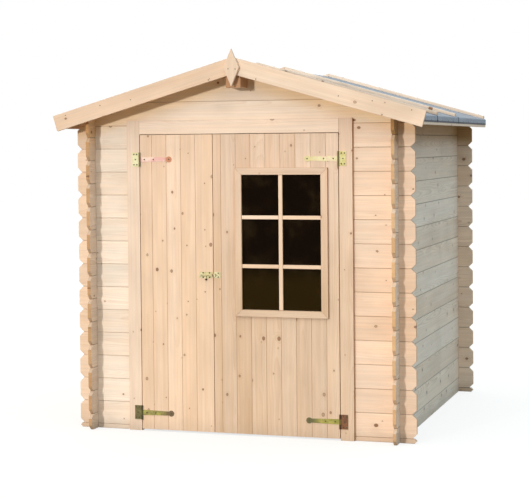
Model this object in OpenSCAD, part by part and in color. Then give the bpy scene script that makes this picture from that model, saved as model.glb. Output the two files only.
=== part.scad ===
// Garden shed of planed boards that cross and interlock at the corners.
// The front faces -Y, +Z is up and the house stands on Z = 0.
// Shapes are drawn with Y = 0 on the outer face of the front wall, then moved by place().

/* [Walls] */
// Width over the outer faces of the side walls
wall_w = 1840; // [1500:10:2400]
// Depth over the outer faces of the front and back walls
wall_d = 1840; // [1400:10:2600]
// Height of the side walls, at their outer face, above the head of the doorway
over_door_h = 118.5; // [90:0.5:300]
// Thickness of the wall boards
wall_t = 20; // [16:1:28]
// Height that one wall board covers
board_h = 135; // [100:1:160]
// Height of the starter strip under the front and back walls
starter_h = 26; // [16:1:40]
// Length of the board ends that stand out past the crossing wall
end_l = 95; // [60:1:110]
// Chamfer on the upper and lower corner of each board end
end_chamfer = 26; // [8:1:30]
// Depth of the V groove along each board joint
groove_d = 3; // [1:0.5:5]
// Clearance on each side of a board in its halved crossing
notch_gap = 0.2; // [0.1:0.1:0.6]

/* [Roof] */
// Pitch of the roof in degrees
roof_pitch = 16; // [12:0.5:22]
// Thickness of the roof boards
deck_t = 16; // [12:1:22]
// Thickness of the roofing felt
felt_t = 3; // [2:0.5:5]
// Clearance between the layers of the roof
seat_gap = 0.1; // [0.05:0.05:0.3]
// Reach of the roof boards past the outer face of a side wall
eave_reach = 163; // [130:1:220]
// Reach of the roof boards past the front wall
front_reach = 120; // [112:1:200]
// Reach of the roof past the back wall
back_reach = 135; // [112:1:200]
// Depth of the strip under the eave, at its outer face
eave_strip_h = 34; // [24:1:60]
// Thickness of the strip under the eave
eave_strip_t = 20; // [12:1:30]
// Drop of the felt below the underside of the roof boards at the eave
felt_drop = 19; // [8:1:24]
// Width of the ridge purlin
purlin_w = 90; // [40:1:120]
// Depth of the ridge purlin at the ridge
purlin_h = 125; // [80:1:160]
// Width of the battens that hold the felt down
batten_w = 36; // [20:1:60]
// Thickness of those battens
batten_t = 18; // [10:1:24]
// Distance of the first batten's middle from the front wall
batten_y = 345; // [200:5:500]
// Spacing of the first two battens
batten_pitch = 560; // [300:10:700]
// Distance of the batten ends from the edge of the eave
batten_back = 8; // [0:1:30]

/* [Gable trim] */
// Width of the bargeboards, square to the slope
barge_w = 93; // [70:1:130]
// Thickness of the bargeboards
barge_t = 18; // [12:1:25]
// Height of the bargeboards above the felt, square to the slope
barge_lift = 26; // [5:1:40]
// Reach of the bargeboards past the outer face of a side wall
barge_reach = 188; // [165:1:240]
// Width of the diamond at the ridge
finial_w = 92; // [60:1:140]
// Height of the diamond
finial_h = 214; // [160:1:260]
// Thickness of the diamond
finial_t = 18; // [12:1:25]
// Height of the diamond's point above the bargeboards
finial_rise = 46; // [20:1:80]

/* [Doorway] */
// Width of the doorway
door_w = 1200; // [950:5:1440]
// Height of the doorway
door_h = 1730; // [1400:5:2100]
// Middle of the doorway, to the right of the middle of the front
door_offset = -15; // [-60:1:60]
// Width of the casing boards beside the doorway
casing_w = 78; // [60:1:100]
// Thickness of the casing boards
casing_t = 18; // [12:1:24]
// Height of the head board over the doorway
head_h = 80; // [60:1:110]

/* [Door leaves] */
// Width of the narrow leaf on the left
narrow_leaf_w = 442.5; // [300:0.5:560]
// Thickness of the leaves
leaf_t = 20; // [16:1:30]
// Gap between a leaf and the doorway's sides and head
leaf_gap = 5; // [5:0.5:8]
// Gap between the two leaves
meet_gap = 7; // [6:0.5:10]
// Gap under the leaves
ground_gap = 10; // [5:1:25]
// Width of the board beside the hinges
hinge_board_w = 72; // [50:1:95]
// Width that one door board covers
leaf_board_w = 89; // [70:1:120]
// Depth of the V groove between door boards
leaf_groove_d = 2.5; // [1:0.5:4]
// Width of the ledges across the back of the leaves
ledge_w = 90; // [60:1:110]
// Thickness of the ledges
ledge_t = 20; // [14:1:28]
// Distance of the ledge ends from the edges of a leaf
ledge_back = 40; // [20:1:70]
// Distance of the middle ledge below the window
mid_ledge_gap = 40; // [10:1:120]

/* [Window] */
// Height of the casing's lower edge
window_z = 685; // [400:1:900]
// Distance of the casing's upper edge below the hinge strap
window_drop = 35; // [15:1:120]
// Distance of the casing from the hinged edge of the leaf
window_edge = 59; // [40:1:120]
// Distance of the casing from the free edge of the leaf
window_free_edge = 133.5; // [70:0.5:200]
// Width of the casing
frame_w = 40; // [25:1:60]
// Thickness of the casing in front of the leaf
frame_t = 14; // [8:1:20]
// Overlap of the casing on the glass
rebate = 10; // [5:1:15]
// Thickness of the glass
glass_t = 4; // [3:0.5:6]

/* [Hinges] */
// Height of the lower hinges
hinge_low_z = 106; // [80:1:160]
// Distance of the upper hinges below the head of the doorway
hinge_drop = 146; // [110:1:200]
// Length of the strap from the hinge pin
strap_l = 198; // [150:1:260]
// Width of the strap at the pin
strap_w = 30; // [20:1:40]
// Width of the strap at its neck
neck_w = 23; // [8:1:26]
// Radius of the round end of the strap
tip_r = 17; // [13:1:22]
// Thickness of the hinge plates
plate_t = 2.5; // [2:0.5:4]
// Width of the plate on the casing
plate_w = 40; // [25:1:48]
// Height of the plate on the casing
plate_h = 82; // [60:1:120]
// Outer radius of the knuckles
knuckle_r = 5; // [4.5:0.5:7]
// Radius of the hinge pin
pin_r = 2.2; // [1.5:0.1:2.4]
// Radial clearance round the pin
pin_gap = 0.05; // [0.02:0.01:0.1]
// Clearance of the moving knuckle from what it turns beside
knuckle_gap = 0.5; // [0.3:0.1:1]

/* [Bolt] */
// Height of the bolt's centre line
bolt_z = 918; // [800:1:1000]
// Length of the bolt's back plate
bolt_plate_l = 80; // [70:1:110]
// Length of the keeper's back plate
keeper_plate_l = 38; // [28:1:60]
// Height of both back plates
bolt_plate_h = 36; // [28:1:50]
// Thickness of both back plates
bolt_plate_t = 2; // [1.5:0.5:3]
// Radius of the sliding rod
rod_r = 4; // [3:0.5:5]
// Clearance of the rod in its guides
rod_gap = 0.4; // [0.2:0.1:0.8]
// Clearance of the rod in the keeper
keeper_gap = 1; // [0.8:0.1:2]
// Width of the staples that hold the rod
staple_w = 9; // [6:1:14]
// Wall of the staples
staple_t = 2.5; // [2:0.5:4]
// Distance of the plates and the rod's point from the edge of their leaf
bolt_back = 2; // [1:0.5:5]
// Distance of the knob from the free edge of the narrow leaf
knob_x = 40; // [36:1:50]
// Length of the knob's stem below the rod's centre line
knob_drop = 25; // [22:1:40]
// Radius of the knob
knob_r = 6; // [4:0.5:6]
// Radius of the knob's stem
stem_r = 2.5; // [1.5:0.5:3]

/* [Hidden] */
$fn = 48;

wood = "#e8cba4";
shaded_wood = "#d6b48a";
felt_grey = "#7d8694";
zinc = "#b9a24e";
dark_glass = "#2b2d2c";

half_w = wall_w / 2;
side_h = door_h + over_door_h;
slope = tan(roof_pitch);
slope_cos = cos(roof_pitch);
slope_sin = sin(roof_pitch);
// Distance that a cut runs past the solid it cuts
over = 1;

// Line of the wall tops at the ridge
ridge_under = side_h + half_w * slope;
// Heights of the undersides of the layers, square to the slope, counted from the line of the wall tops
deck_n = seat_gap;
felt_n = deck_n + deck_t + seat_gap;
batten_n = felt_n + felt_t + seat_gap;
barge_top_n = batten_n + barge_lift;
barge_low_n = barge_top_n - barge_w;
eave_x = half_w + eave_reach;
roof_front = -front_reach;
roof_back = wall_d + back_reach;
deck_back = roof_back - felt_t;
barge_peak = ridge_under + barge_top_n / slope_cos;
purlin_low = ridge_under - purlin_h;

// Y of the front wall when the whole part is centred over the origin
total_d = finial_t + barge_t + front_reach + roof_back;
front_y = finial_t + barge_t + front_reach - total_d / 2;

// Board joints of the front and back walls, and of the side walls half a board higher
front_joints = [for (z = starter_h; z < ridge_under + board_h; z = z + board_h) z];
side_joints = [for (z = starter_h + board_h / 2; z < side_h; z = z + board_h) z];
// Joint above the doorway, where the full boards of the gable begin
gable_z = starter_h + board_h * ceil((door_h + over - starter_h) / board_h);

door_left = door_offset - door_w / 2;
door_right = door_offset + door_w / 2;
leaf_front = -casing_t;
leaf_back = leaf_front + leaf_t;
leaf_top = door_h - leaf_gap;
narrow_edge = door_left + leaf_gap + narrow_leaf_w;
wide_edge = narrow_edge + meet_gap;
wide_leaf_w = door_right - leaf_gap - wide_edge;
hinge_top_z = door_h - hinge_drop;
window_left = wide_edge + window_free_edge;
window_w = wide_leaf_w - window_edge - window_free_edge;
window_h = hinge_top_z - strap_w / 2 - window_drop - window_z;
mid_ledge_z = window_z - mid_ledge_gap - ledge_w / 2;

// Pin axis in front of the wood, in the middle of the gap beside a leaf
pin_out = knuckle_r + knuckle_gap;
pin_y = leaf_front - pin_out;
left_pin_x = door_left + leaf_gap / 2;
right_pin_x = door_right - leaf_gap / 2;
// The strap's knuckle is as long as the strap is wide, the plate's two fill the rest
outer_knuckle_l = (plate_h - strap_w) / 2 - knuckle_gap;

// Rod axis in front of the leaf
rod_out = bolt_plate_t + rod_gap + rod_r;
rod_y = leaf_front - rod_out;

function under(x) = ridge_under - abs(x) * slope;
// Point of the slope at x, n above the line of the wall tops, square to the slope
function on_slope(x, n) = [x, under(x) + n / slope_cos];
// End of a board course from z0 to z1 with both corners cut
function board_end(tip, z0, z1) =
    let (c = min(end_chamfer, (z1 - z0) / 2))
    [[tip - c, z0], [tip, z0 + c], [tip, z1 - c], [tip - c, z1]];
function course_ends(tip, levels) =
    [for (i = [0 : len(levels) - 2]) each board_end(tip, levels[i], levels[i + 1])];
function mirrored(points) = [for (i = [len(points) - 1 : -1 : 0]) [-points[i].x, points[i].y]];

module place() translate([0, front_y, 0]) children();

// Stands a drawing of X and Z up as a plate from y0 to y1
module upright(y0, y1) translate([0, y1, 0]) rotate([90, 0, 0]) linear_extrude(y1 - y0) children();

// Stands a drawing of Y and Z up as a plate from x0 to x1
module sideways(x0, x1) translate([x0, 0, 0]) rotate([90, 0, 90]) linear_extrude(x1 - x0) children();

module plus_minus() {
    children();
    mirror([1, 0, 0]) children();
}

// Outline of a wall of boards whose ends run out to half_l on both sides
module board_outline(half_l, levels) {
    ends = course_ends(half_l, levels);
    polygon(concat(ends, mirrored(ends)));
}

// Slots that let the boards of the crossing walls through, half a board high at each joint
module crossing_slots(half_l, joints) {
    plus_minus()
        for (z = joints)
            translate([half_l - wall_t - notch_gap, z - board_h / 4])
                square([wall_t + 2 * notch_gap, board_h / 2]);
}

// Section through a board wall: outer face at 0, a V groove on both faces at each joint
module grooved_section(joints, z_outer, z_inner) {
    polygon(concat(
        [[0, 0]],
        [for (z = joints) each [[0, z - groove_d], [groove_d, z], [0, z + groove_d]]],
        [[0, z_outer], [wall_t, z_inner]],
        [for (i = [len(joints) - 1 : -1 : 0])
            each [[wall_t, joints[i] + groove_d], [wall_t - groove_d, joints[i]], [wall_t, joints[i] - groove_d]]],
        [[wall_t, 0]]
    ));
}

// Everything under the line of the wall tops
module below_roof() {
    far = half_w + end_l + over;
    polygon([[-far, 0], [far, 0], [far, under(far)], [0, ridge_under], [-far, under(far)]]);
}

// Slot in a gable for the ridge purlin, open at the top
module purlin_slot() {
    half = purlin_w / 2 + notch_gap;
    translate([-half, purlin_low]) square([2 * half, purlin_h + over]);
}

// Part of a front or back wall between x0 and x1 and from z0 to z1
module gable_wall(x0, x1, z0, z1) {
    reach = half_w + end_l;
    top = front_joints[len(front_joints) - 1];
    intersection() {
        upright(0, wall_t)
            intersection() {
                difference() {
                    board_outline(reach, concat([0], front_joints));
                    crossing_slots(half_w, front_joints);
                    purlin_slot();
                }
                below_roof();
                translate([x0, z0]) square([x1 - x0, z1 - z0]);
            }
        sideways(-reach, reach)
            grooved_section([for (z = front_joints) if (z < top) z], top, top);
    }
}

module side_wall() {
    reach = wall_d / 2 + end_l;
    top = side_h + wall_t * slope;
    translate([-half_w, wall_d / 2, 0])
        intersection() {
            sideways(0, wall_t)
                difference() {
                    board_outline(reach, concat([0], side_joints, [top]));
                    crossing_slots(wall_d / 2, concat(side_joints, [last_side_joint() + board_h]));
                }
            upright(-reach, reach)
                grooved_section(side_joints, side_h, top);
        }
}

function last_side_joint() = side_joints[len(side_joints) - 1];

module front_wall_left() color(wood) place() gable_wall(-half_w - end_l, door_left, 0, gable_z);

module front_wall_right() color(wood) place() gable_wall(door_right, half_w + end_l, 0, gable_z);

module front_wall_over_door() color(wood) place() gable_wall(door_left, door_right, door_h, gable_z);

module front_gable() color(wood) place() gable_wall(-half_w - end_l, half_w + end_l, gable_z, ridge_under);

module back_wall_at() place() translate([0, wall_d, 0]) mirror([0, 1, 0]) children();

module back_wall() color(wood) back_wall_at() gable_wall(-half_w - end_l, half_w + end_l, 0, gable_z);

module back_gable() color(wood) back_wall_at() gable_wall(-half_w - end_l, half_w + end_l, gable_z, ridge_under);

module left_wall() color(wood) place() side_wall();

module right_wall() color(wood) place() mirror([1, 0, 0]) side_wall();

// Purlin whose top follows both slopes
module ridge_purlin() {
    half = purlin_w / 2;
    color(shaded_wood) place()
        upright(roof_front, deck_back)
            polygon([
                [-half, purlin_low], [half, purlin_low], [half, under(half)],
                [0, ridge_under], [-half, under(half)]
            ]);
}

// Layer of the right slope between the heights n0 and n1, out to x1
module slope_layer(n0, n1, x1) {
    polygon([on_slope(0, n0), on_slope(0, n1), on_slope(x1, n1), on_slope(x1, n0)]);
}

module roof_boards() upright(roof_front, deck_back) slope_layer(deck_n, deck_n + deck_t, eave_x);

module left_roof_boards() color(shaded_wood) place() mirror([1, 0, 0]) roof_boards();

module right_roof_boards() color(shaded_wood) place() roof_boards();

// Felt on the boards, folded down over the eave and over the back edge
module roof_felt() {
    edge_x = eave_x + felt_t;
    low = under(eave_x) - felt_drop;
    upright(roof_front, roof_back)
        polygon([
            on_slope(0, felt_n), on_slope(0, felt_n + felt_t), on_slope(edge_x, felt_n + felt_t),
            [edge_x, low], [eave_x, low], on_slope(eave_x, felt_n)
        ]);
    upright(deck_back, roof_back) slope_layer(deck_n, felt_n, eave_x);
}

module left_roof_felt() color(felt_grey) place() mirror([1, 0, 0]) roof_felt();

module right_roof_felt() color(felt_grey) place() roof_felt();

// Strip under the eave that stiffens the edge and takes the felt nails
module eave_strip() {
    inner = eave_x - eave_strip_t;
    low = under(eave_x) - eave_strip_h;
    upright(roof_front, deck_back)
        polygon([[inner, low], [eave_x, low], [eave_x, under(eave_x)], [inner, under(inner)]]);
}

module left_eave_strip() color(wood) place() mirror([1, 0, 0]) eave_strip();

module right_eave_strip() color(wood) place() eave_strip();

// Battens over the felt laps, from the ridge nearly to the eave, and one on the back edge
module roof_battens() {
    for (y = [batten_y, batten_y + batten_pitch, roof_back - batten_w / 2])
        upright(y - batten_w / 2, y + batten_w / 2)
            slope_layer(batten_n, batten_n + batten_t, eave_x - batten_back);
}

module left_roof_battens() color(shaded_wood) place() mirror([1, 0, 0]) roof_battens();

module right_roof_battens() color(shaded_wood) place() roof_battens();

// Bargeboard of the right slope, plumb at the ridge and cut square at its foot
module bargeboard() {
    foot = on_slope(half_w + barge_reach, barge_top_n);
    upright(roof_front - barge_t, roof_front)
        polygon([
            on_slope(0, barge_low_n), on_slope(0, barge_top_n),
            foot, foot - barge_w * [slope_sin, slope_cos]
        ]);
}

module left_bargeboard() color(wood) place() mirror([1, 0, 0]) bargeboard();

module right_bargeboard() color(wood) place() bargeboard();

module ridge_finial() {
    tip = barge_peak + finial_rise;
    mid = tip - finial_h / 2;
    color(wood) place()
        upright(roof_front - barge_t - finial_t, roof_front - barge_t)
            polygon([[0, tip], [finial_w / 2, mid], [0, tip - finial_h], [-finial_w / 2, mid]]);
}

module door_casing(x) translate([x, -casing_t, 0]) cube([casing_w, casing_t, door_h + head_h]);

module left_door_casing() color(wood) place() door_casing(door_left - casing_w);

module right_door_casing() color(wood) place() door_casing(door_right);

module door_head() color(wood) place() translate([door_left, -casing_t, door_h]) cube([door_w, casing_t, head_h]);

// Leaf of upright boards, hinged at x = 0, with a V groove on both faces at each joint
module plank_leaf(width) {
    joints = [for (x = hinge_board_w; x < width - 2 * leaf_groove_d; x = x + leaf_board_w) x];
    translate([0, leaf_front, ground_gap])
        linear_extrude(leaf_top - ground_gap)
            polygon(concat(
                [[0, 0]],
                [for (x = joints) each [[x - leaf_groove_d, 0], [x, leaf_groove_d], [x + leaf_groove_d, 0]]],
                [[width, 0], [width, leaf_t]],
                [for (i = [len(joints) - 1 : -1 : 0]) each [
                    [joints[i] + leaf_groove_d, leaf_t],
                    [joints[i], leaf_t - leaf_groove_d],
                    [joints[i] - leaf_groove_d, leaf_t]
                ]],
                [[0, leaf_t]]
            ));
}

// Ledges behind the hinges and one between them
module leaf_ledges(width) {
    for (z = [hinge_low_z, mid_ledge_z, hinge_top_z])
        translate([ledge_back, leaf_back, z - ledge_w / 2])
            cube([width - 2 * ledge_back, ledge_t, ledge_w]);
}

module at_left_leaf() place() translate([door_left + leaf_gap, 0, 0]) children();

module at_right_leaf() place() translate([door_right - leaf_gap, 0, 0]) mirror([1, 0, 0]) children();

module left_leaf() color(wood) at_left_leaf() plank_leaf(narrow_leaf_w);

module left_leaf_ledges() color(shaded_wood) at_left_leaf() leaf_ledges(narrow_leaf_w);

// Rectangle smaller than the window's casing by inset on each side
module window_rect(inset) {
    translate([window_left + inset, window_z + inset])
        square([window_w - 2 * inset, window_h - 2 * inset]);
}

module right_leaf() {
    color(wood)
        difference() {
            at_right_leaf() plank_leaf(wide_leaf_w);
            place() upright(leaf_front - over, leaf_back + over) window_rect(frame_w - rebate);
        }
}

module right_leaf_ledges() color(shaded_wood) at_right_leaf() leaf_ledges(wide_leaf_w);

module window_casing() {
    color(wood) place()
        upright(leaf_front - frame_t, leaf_front)
            difference() {
                window_rect(0);
                window_rect(frame_w);
            }
}

module window_glass() {
    color(dark_glass) place()
        upright(leaf_front, leaf_front + glass_t) window_rect(frame_w - rebate);
}

// Bead that holds the glass against the casing from behind
module window_bead() {
    color(shaded_wood) place()
        upright(leaf_front + glass_t, leaf_back)
            difference() {
                window_rect(frame_w - rebate);
                window_rect(frame_w);
            }
}

// Plate of a tee hinge with its two knuckles and the pin, drawn about the pin with the leaf towards +X
module hinge_plate() {
    plate_y = pin_out - plate_t;
    translate([-plate_w - pin_out, plate_y, -plate_h / 2]) cube([plate_w, plate_t, plate_h]);
    for (z = [-plate_h / 2, plate_h / 2 - outer_knuckle_l]) {
        translate([-pin_out - over, plate_y, z]) cube([pin_out + over, plate_t, outer_knuckle_l]);
        translate([0, 0, z]) cylinder(r = knuckle_r, h = outer_knuckle_l);
    }
    translate([0, 0, -plate_h / 2]) cylinder(r = pin_r, h = plate_h);
}

// Strap of a tee hinge: a tapered bar with a round end, and the knuckle that turns on the pin
module hinge_strap() {
    knuckle_l = strap_w;
    disc_x = strap_l - tip_r;
    neck_x = disc_x - tip_r;
    difference() {
        union() {
            upright(pin_out - plate_t, pin_out) {
                polygon([
                    [0, -strap_w / 2], [pin_out, -strap_w / 2], [neck_x, -neck_w / 2], [disc_x, -neck_w / 2],
                    [disc_x, neck_w / 2], [neck_x, neck_w / 2], [pin_out, strap_w / 2], [0, strap_w / 2]
                ]);
                translate([disc_x, 0]) circle(r = tip_r);
            }
            translate([0, 0, -knuckle_l / 2]) cylinder(r = knuckle_r, h = knuckle_l);
        }
        translate([0, 0, -knuckle_l / 2 - over]) cylinder(r = pin_r + pin_gap, h = knuckle_l + 2 * over);
    }
}

module at_left_pin(z) color(zinc) place() translate([left_pin_x, pin_y, z]) children();

module at_right_pin(z) color(zinc) place() translate([right_pin_x, pin_y, z]) mirror([1, 0, 0]) children();

module left_top_hinge_plate() at_left_pin(hinge_top_z) hinge_plate();

module left_top_hinge_strap() at_left_pin(hinge_top_z) hinge_strap();

module left_low_hinge_plate() at_left_pin(hinge_low_z) hinge_plate();

module left_low_hinge_strap() at_left_pin(hinge_low_z) hinge_strap();

module right_top_hinge_plate() at_right_pin(hinge_top_z) hinge_plate();

module right_top_hinge_strap() at_right_pin(hinge_top_z) hinge_strap();

module right_low_hinge_plate() at_right_pin(hinge_low_z) hinge_plate();

module right_low_hinge_strap() at_right_pin(hinge_low_z) hinge_strap();

// Back plate on the face of a leaf from x0 to x1
module bolt_plate(x0, x1) {
    translate([x0, leaf_front - bolt_plate_t, bolt_z - bolt_plate_h / 2])
        cube([x1 - x0, bolt_plate_t, bolt_plate_h]);
}

// Square staple from x0 that leaves a gap round the rod
module rod_staple(x0, gap) {
    half = rod_r + gap;
    depth = rod_out + half + staple_t - bolt_plate_t;
    translate([x0, leaf_front - bolt_plate_t - depth, bolt_z])
        difference() {
            translate([0, 0, -half - staple_t]) cube([staple_w, depth, 2 * (half + staple_t)]);
            translate([-over, staple_t, -half]) cube([staple_w + 2 * over, depth, 2 * half]);
        }
}

module bolt_guide() {
    right = narrow_edge - bolt_back;
    left = right - bolt_plate_l;
    color(zinc) place() {
        bolt_plate(left, right);
        rod_staple(left + staple_t, rod_gap);
        rod_staple(right - staple_w, rod_gap);
    }
}

// Rod drawn back, its point just inside the edge of the narrow leaf, with the knob hanging down
module bolt_rod() {
    tip = narrow_edge - bolt_back;
    stem_x = narrow_edge - knob_x;
    color(zinc) place() translate([0, rod_y, bolt_z]) {
        translate([tip - bolt_plate_l, 0, 0]) rotate([0, 90, 0]) cylinder(r = rod_r, h = bolt_plate_l);
        translate([stem_x, 0, -knob_drop]) cylinder(r = stem_r, h = knob_drop);
        translate([stem_x, 0, -knob_drop]) sphere(r = knob_r);
    }
}

module bolt_keeper() {
    left = wide_edge + bolt_back;
    color(zinc) place() {
        bolt_plate(left, left + keeper_plate_l);
        rod_staple(left, keeper_gap);
    }
}

front_wall_left();
front_wall_right();
front_wall_over_door();
front_gable();
back_wall();
back_gable();
left_wall();
right_wall();
ridge_purlin();
left_roof_boards();
right_roof_boards();
left_roof_felt();
right_roof_felt();
left_eave_strip();
right_eave_strip();
left_roof_battens();
right_roof_battens();
left_bargeboard();
right_bargeboard();
ridge_finial();
left_door_casing();
right_door_casing();
door_head();
left_leaf();
left_leaf_ledges();
right_leaf();
right_leaf_ledges();
window_casing();
window_glass();
window_bead();
left_top_hinge_plate();
left_top_hinge_strap();
left_low_hinge_plate();
left_low_hinge_strap();
right_top_hinge_plate();
right_top_hinge_strap();
right_low_hinge_plate();
right_low_hinge_strap();
bolt_guide();
bolt_rod();
bolt_keeper();
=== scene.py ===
"""Looks of a garden shed of planed boards that cross at the corners.

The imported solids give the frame. Every wooden node is rebuilt here from single boards with eased
edges and grain that runs along each board, the felt from lapped strips, and the metal keeps its
solids under a worn zinc finish with screws added.
"""

import logging
import math
import random
from dataclasses import dataclass, replace
from enum import Enum
from functools import partial, reduce
from typing import Iterable, Sequence

import bmesh
import bpy
from mathutils import Matrix, Vector


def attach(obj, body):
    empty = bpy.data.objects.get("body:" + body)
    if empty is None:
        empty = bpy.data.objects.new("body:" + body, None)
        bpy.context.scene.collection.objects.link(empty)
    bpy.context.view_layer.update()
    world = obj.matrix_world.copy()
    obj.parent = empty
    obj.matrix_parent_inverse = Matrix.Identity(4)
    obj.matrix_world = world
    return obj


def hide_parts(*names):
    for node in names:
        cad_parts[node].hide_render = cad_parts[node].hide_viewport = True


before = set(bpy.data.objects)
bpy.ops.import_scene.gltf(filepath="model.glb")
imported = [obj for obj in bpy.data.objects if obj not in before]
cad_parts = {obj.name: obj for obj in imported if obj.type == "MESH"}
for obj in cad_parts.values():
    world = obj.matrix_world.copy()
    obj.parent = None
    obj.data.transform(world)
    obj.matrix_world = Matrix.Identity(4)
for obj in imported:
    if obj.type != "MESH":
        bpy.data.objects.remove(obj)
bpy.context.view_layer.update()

log = logging.getLogger("shed")

Point = tuple[float, float]
Box = tuple[float, float, float, float]
Outline = list[Point]
Colour = tuple[float, float, float, float]
Seat = tuple[Vector, Vector]
Material = bpy.types.Material
Piece = bpy.types.Object
Shape = bmesh.types.BMesh
Grid = list[list[bmesh.types.BMVert]]
Tree = bpy.types.NodeTree
Node = bpy.types.Node
Socket = bpy.types.NodeSocket
Sockets = bpy.types.bpy_prop_collection

FRONT = -0.9095  # Y of the outer face of the front wall
BACK = 0.9305  # Y of the outer face of the back wall
BOARD_T = 0.018  # thickness of the boards before the front wall
LEAF_FACE = FRONT - BOARD_T  # Y of the outer face of the leaves and of the casing
PIN_X = {"left": -0.6125, "right": 0.5825}  # X of the hinge pins
HINGE_Z = {"top": 1.584, "low": 0.106}  # heights of the hinges
BOLT_Z = 0.918  # height of the bolt
BATTEN_Y = (FRONT + 0.345, FRONT + 0.905, BACK + 0.117)  # middles of the battens
HAIR = 0.0002  # room between pieces that touch
SHARP = 0.5  # angle in radians from which an edge is eased
PARALLEL = 0.999  # cosine from which an edge runs along the grain
NEAR = 1e-5  # distance at which an edge lies on a board's side
TINY = 1e-6  # distance below which two points are one
SIDES = ((-1, "left"), (1, "right"))
OUTWARD = Vector((0, -1, 0))  # from the front wall to the viewer


class Body(Enum):
    """Bodies that the joints move."""

    SHED = "shed"
    LEFT_LEAF = "left_leaf"
    RIGHT_LEAF = "right_leaf"


class Slot(Enum):
    """Material slots of the record."""

    WALL = "wall_boards"
    ROOF_TIMBER = "roof_timber"
    BATTENS = "roof_battens"
    FELT = "roof_felt"
    TRIM = "trim_boards"
    DOOR = "door_boards"
    ZINC = "zinc_hardware"


class Plane(Enum):
    """Way in which a flat outline is stood up."""

    UPRIGHT = "outline of X and Z, thickness along Y"
    SIDEWAYS = "outline of Y and Z, thickness along X"

    def point(self, across: float, height: float, depth: float) -> Vector:
        """A point of the outline in the shared frame."""
        return Vector((across, depth, height) if self is Plane.UPRIGHT else (depth, across, height))

    def normal(self) -> Vector:
        """The direction of the thickness."""
        return Vector((0, 1, 0)) if self is Plane.UPRIGHT else Vector((1, 0, 0))


def tint(code: str) -> Colour:
    """Turns a written colour into linear light.

    Args:
        code: six hexadecimal digits after a hash sign.

    Returns:
        Red, green, blue and alpha.
    """
    parts = [int(code[i : i + 2], 16) / 255 for i in (1, 3, 5)]
    linear = [p / 12.92 if p <= 0.04045 else ((p + 0.055) / 1.055) ** 2.4 for p in parts]
    return (linear[0], linear[1], linear[2], 1.0)


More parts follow.
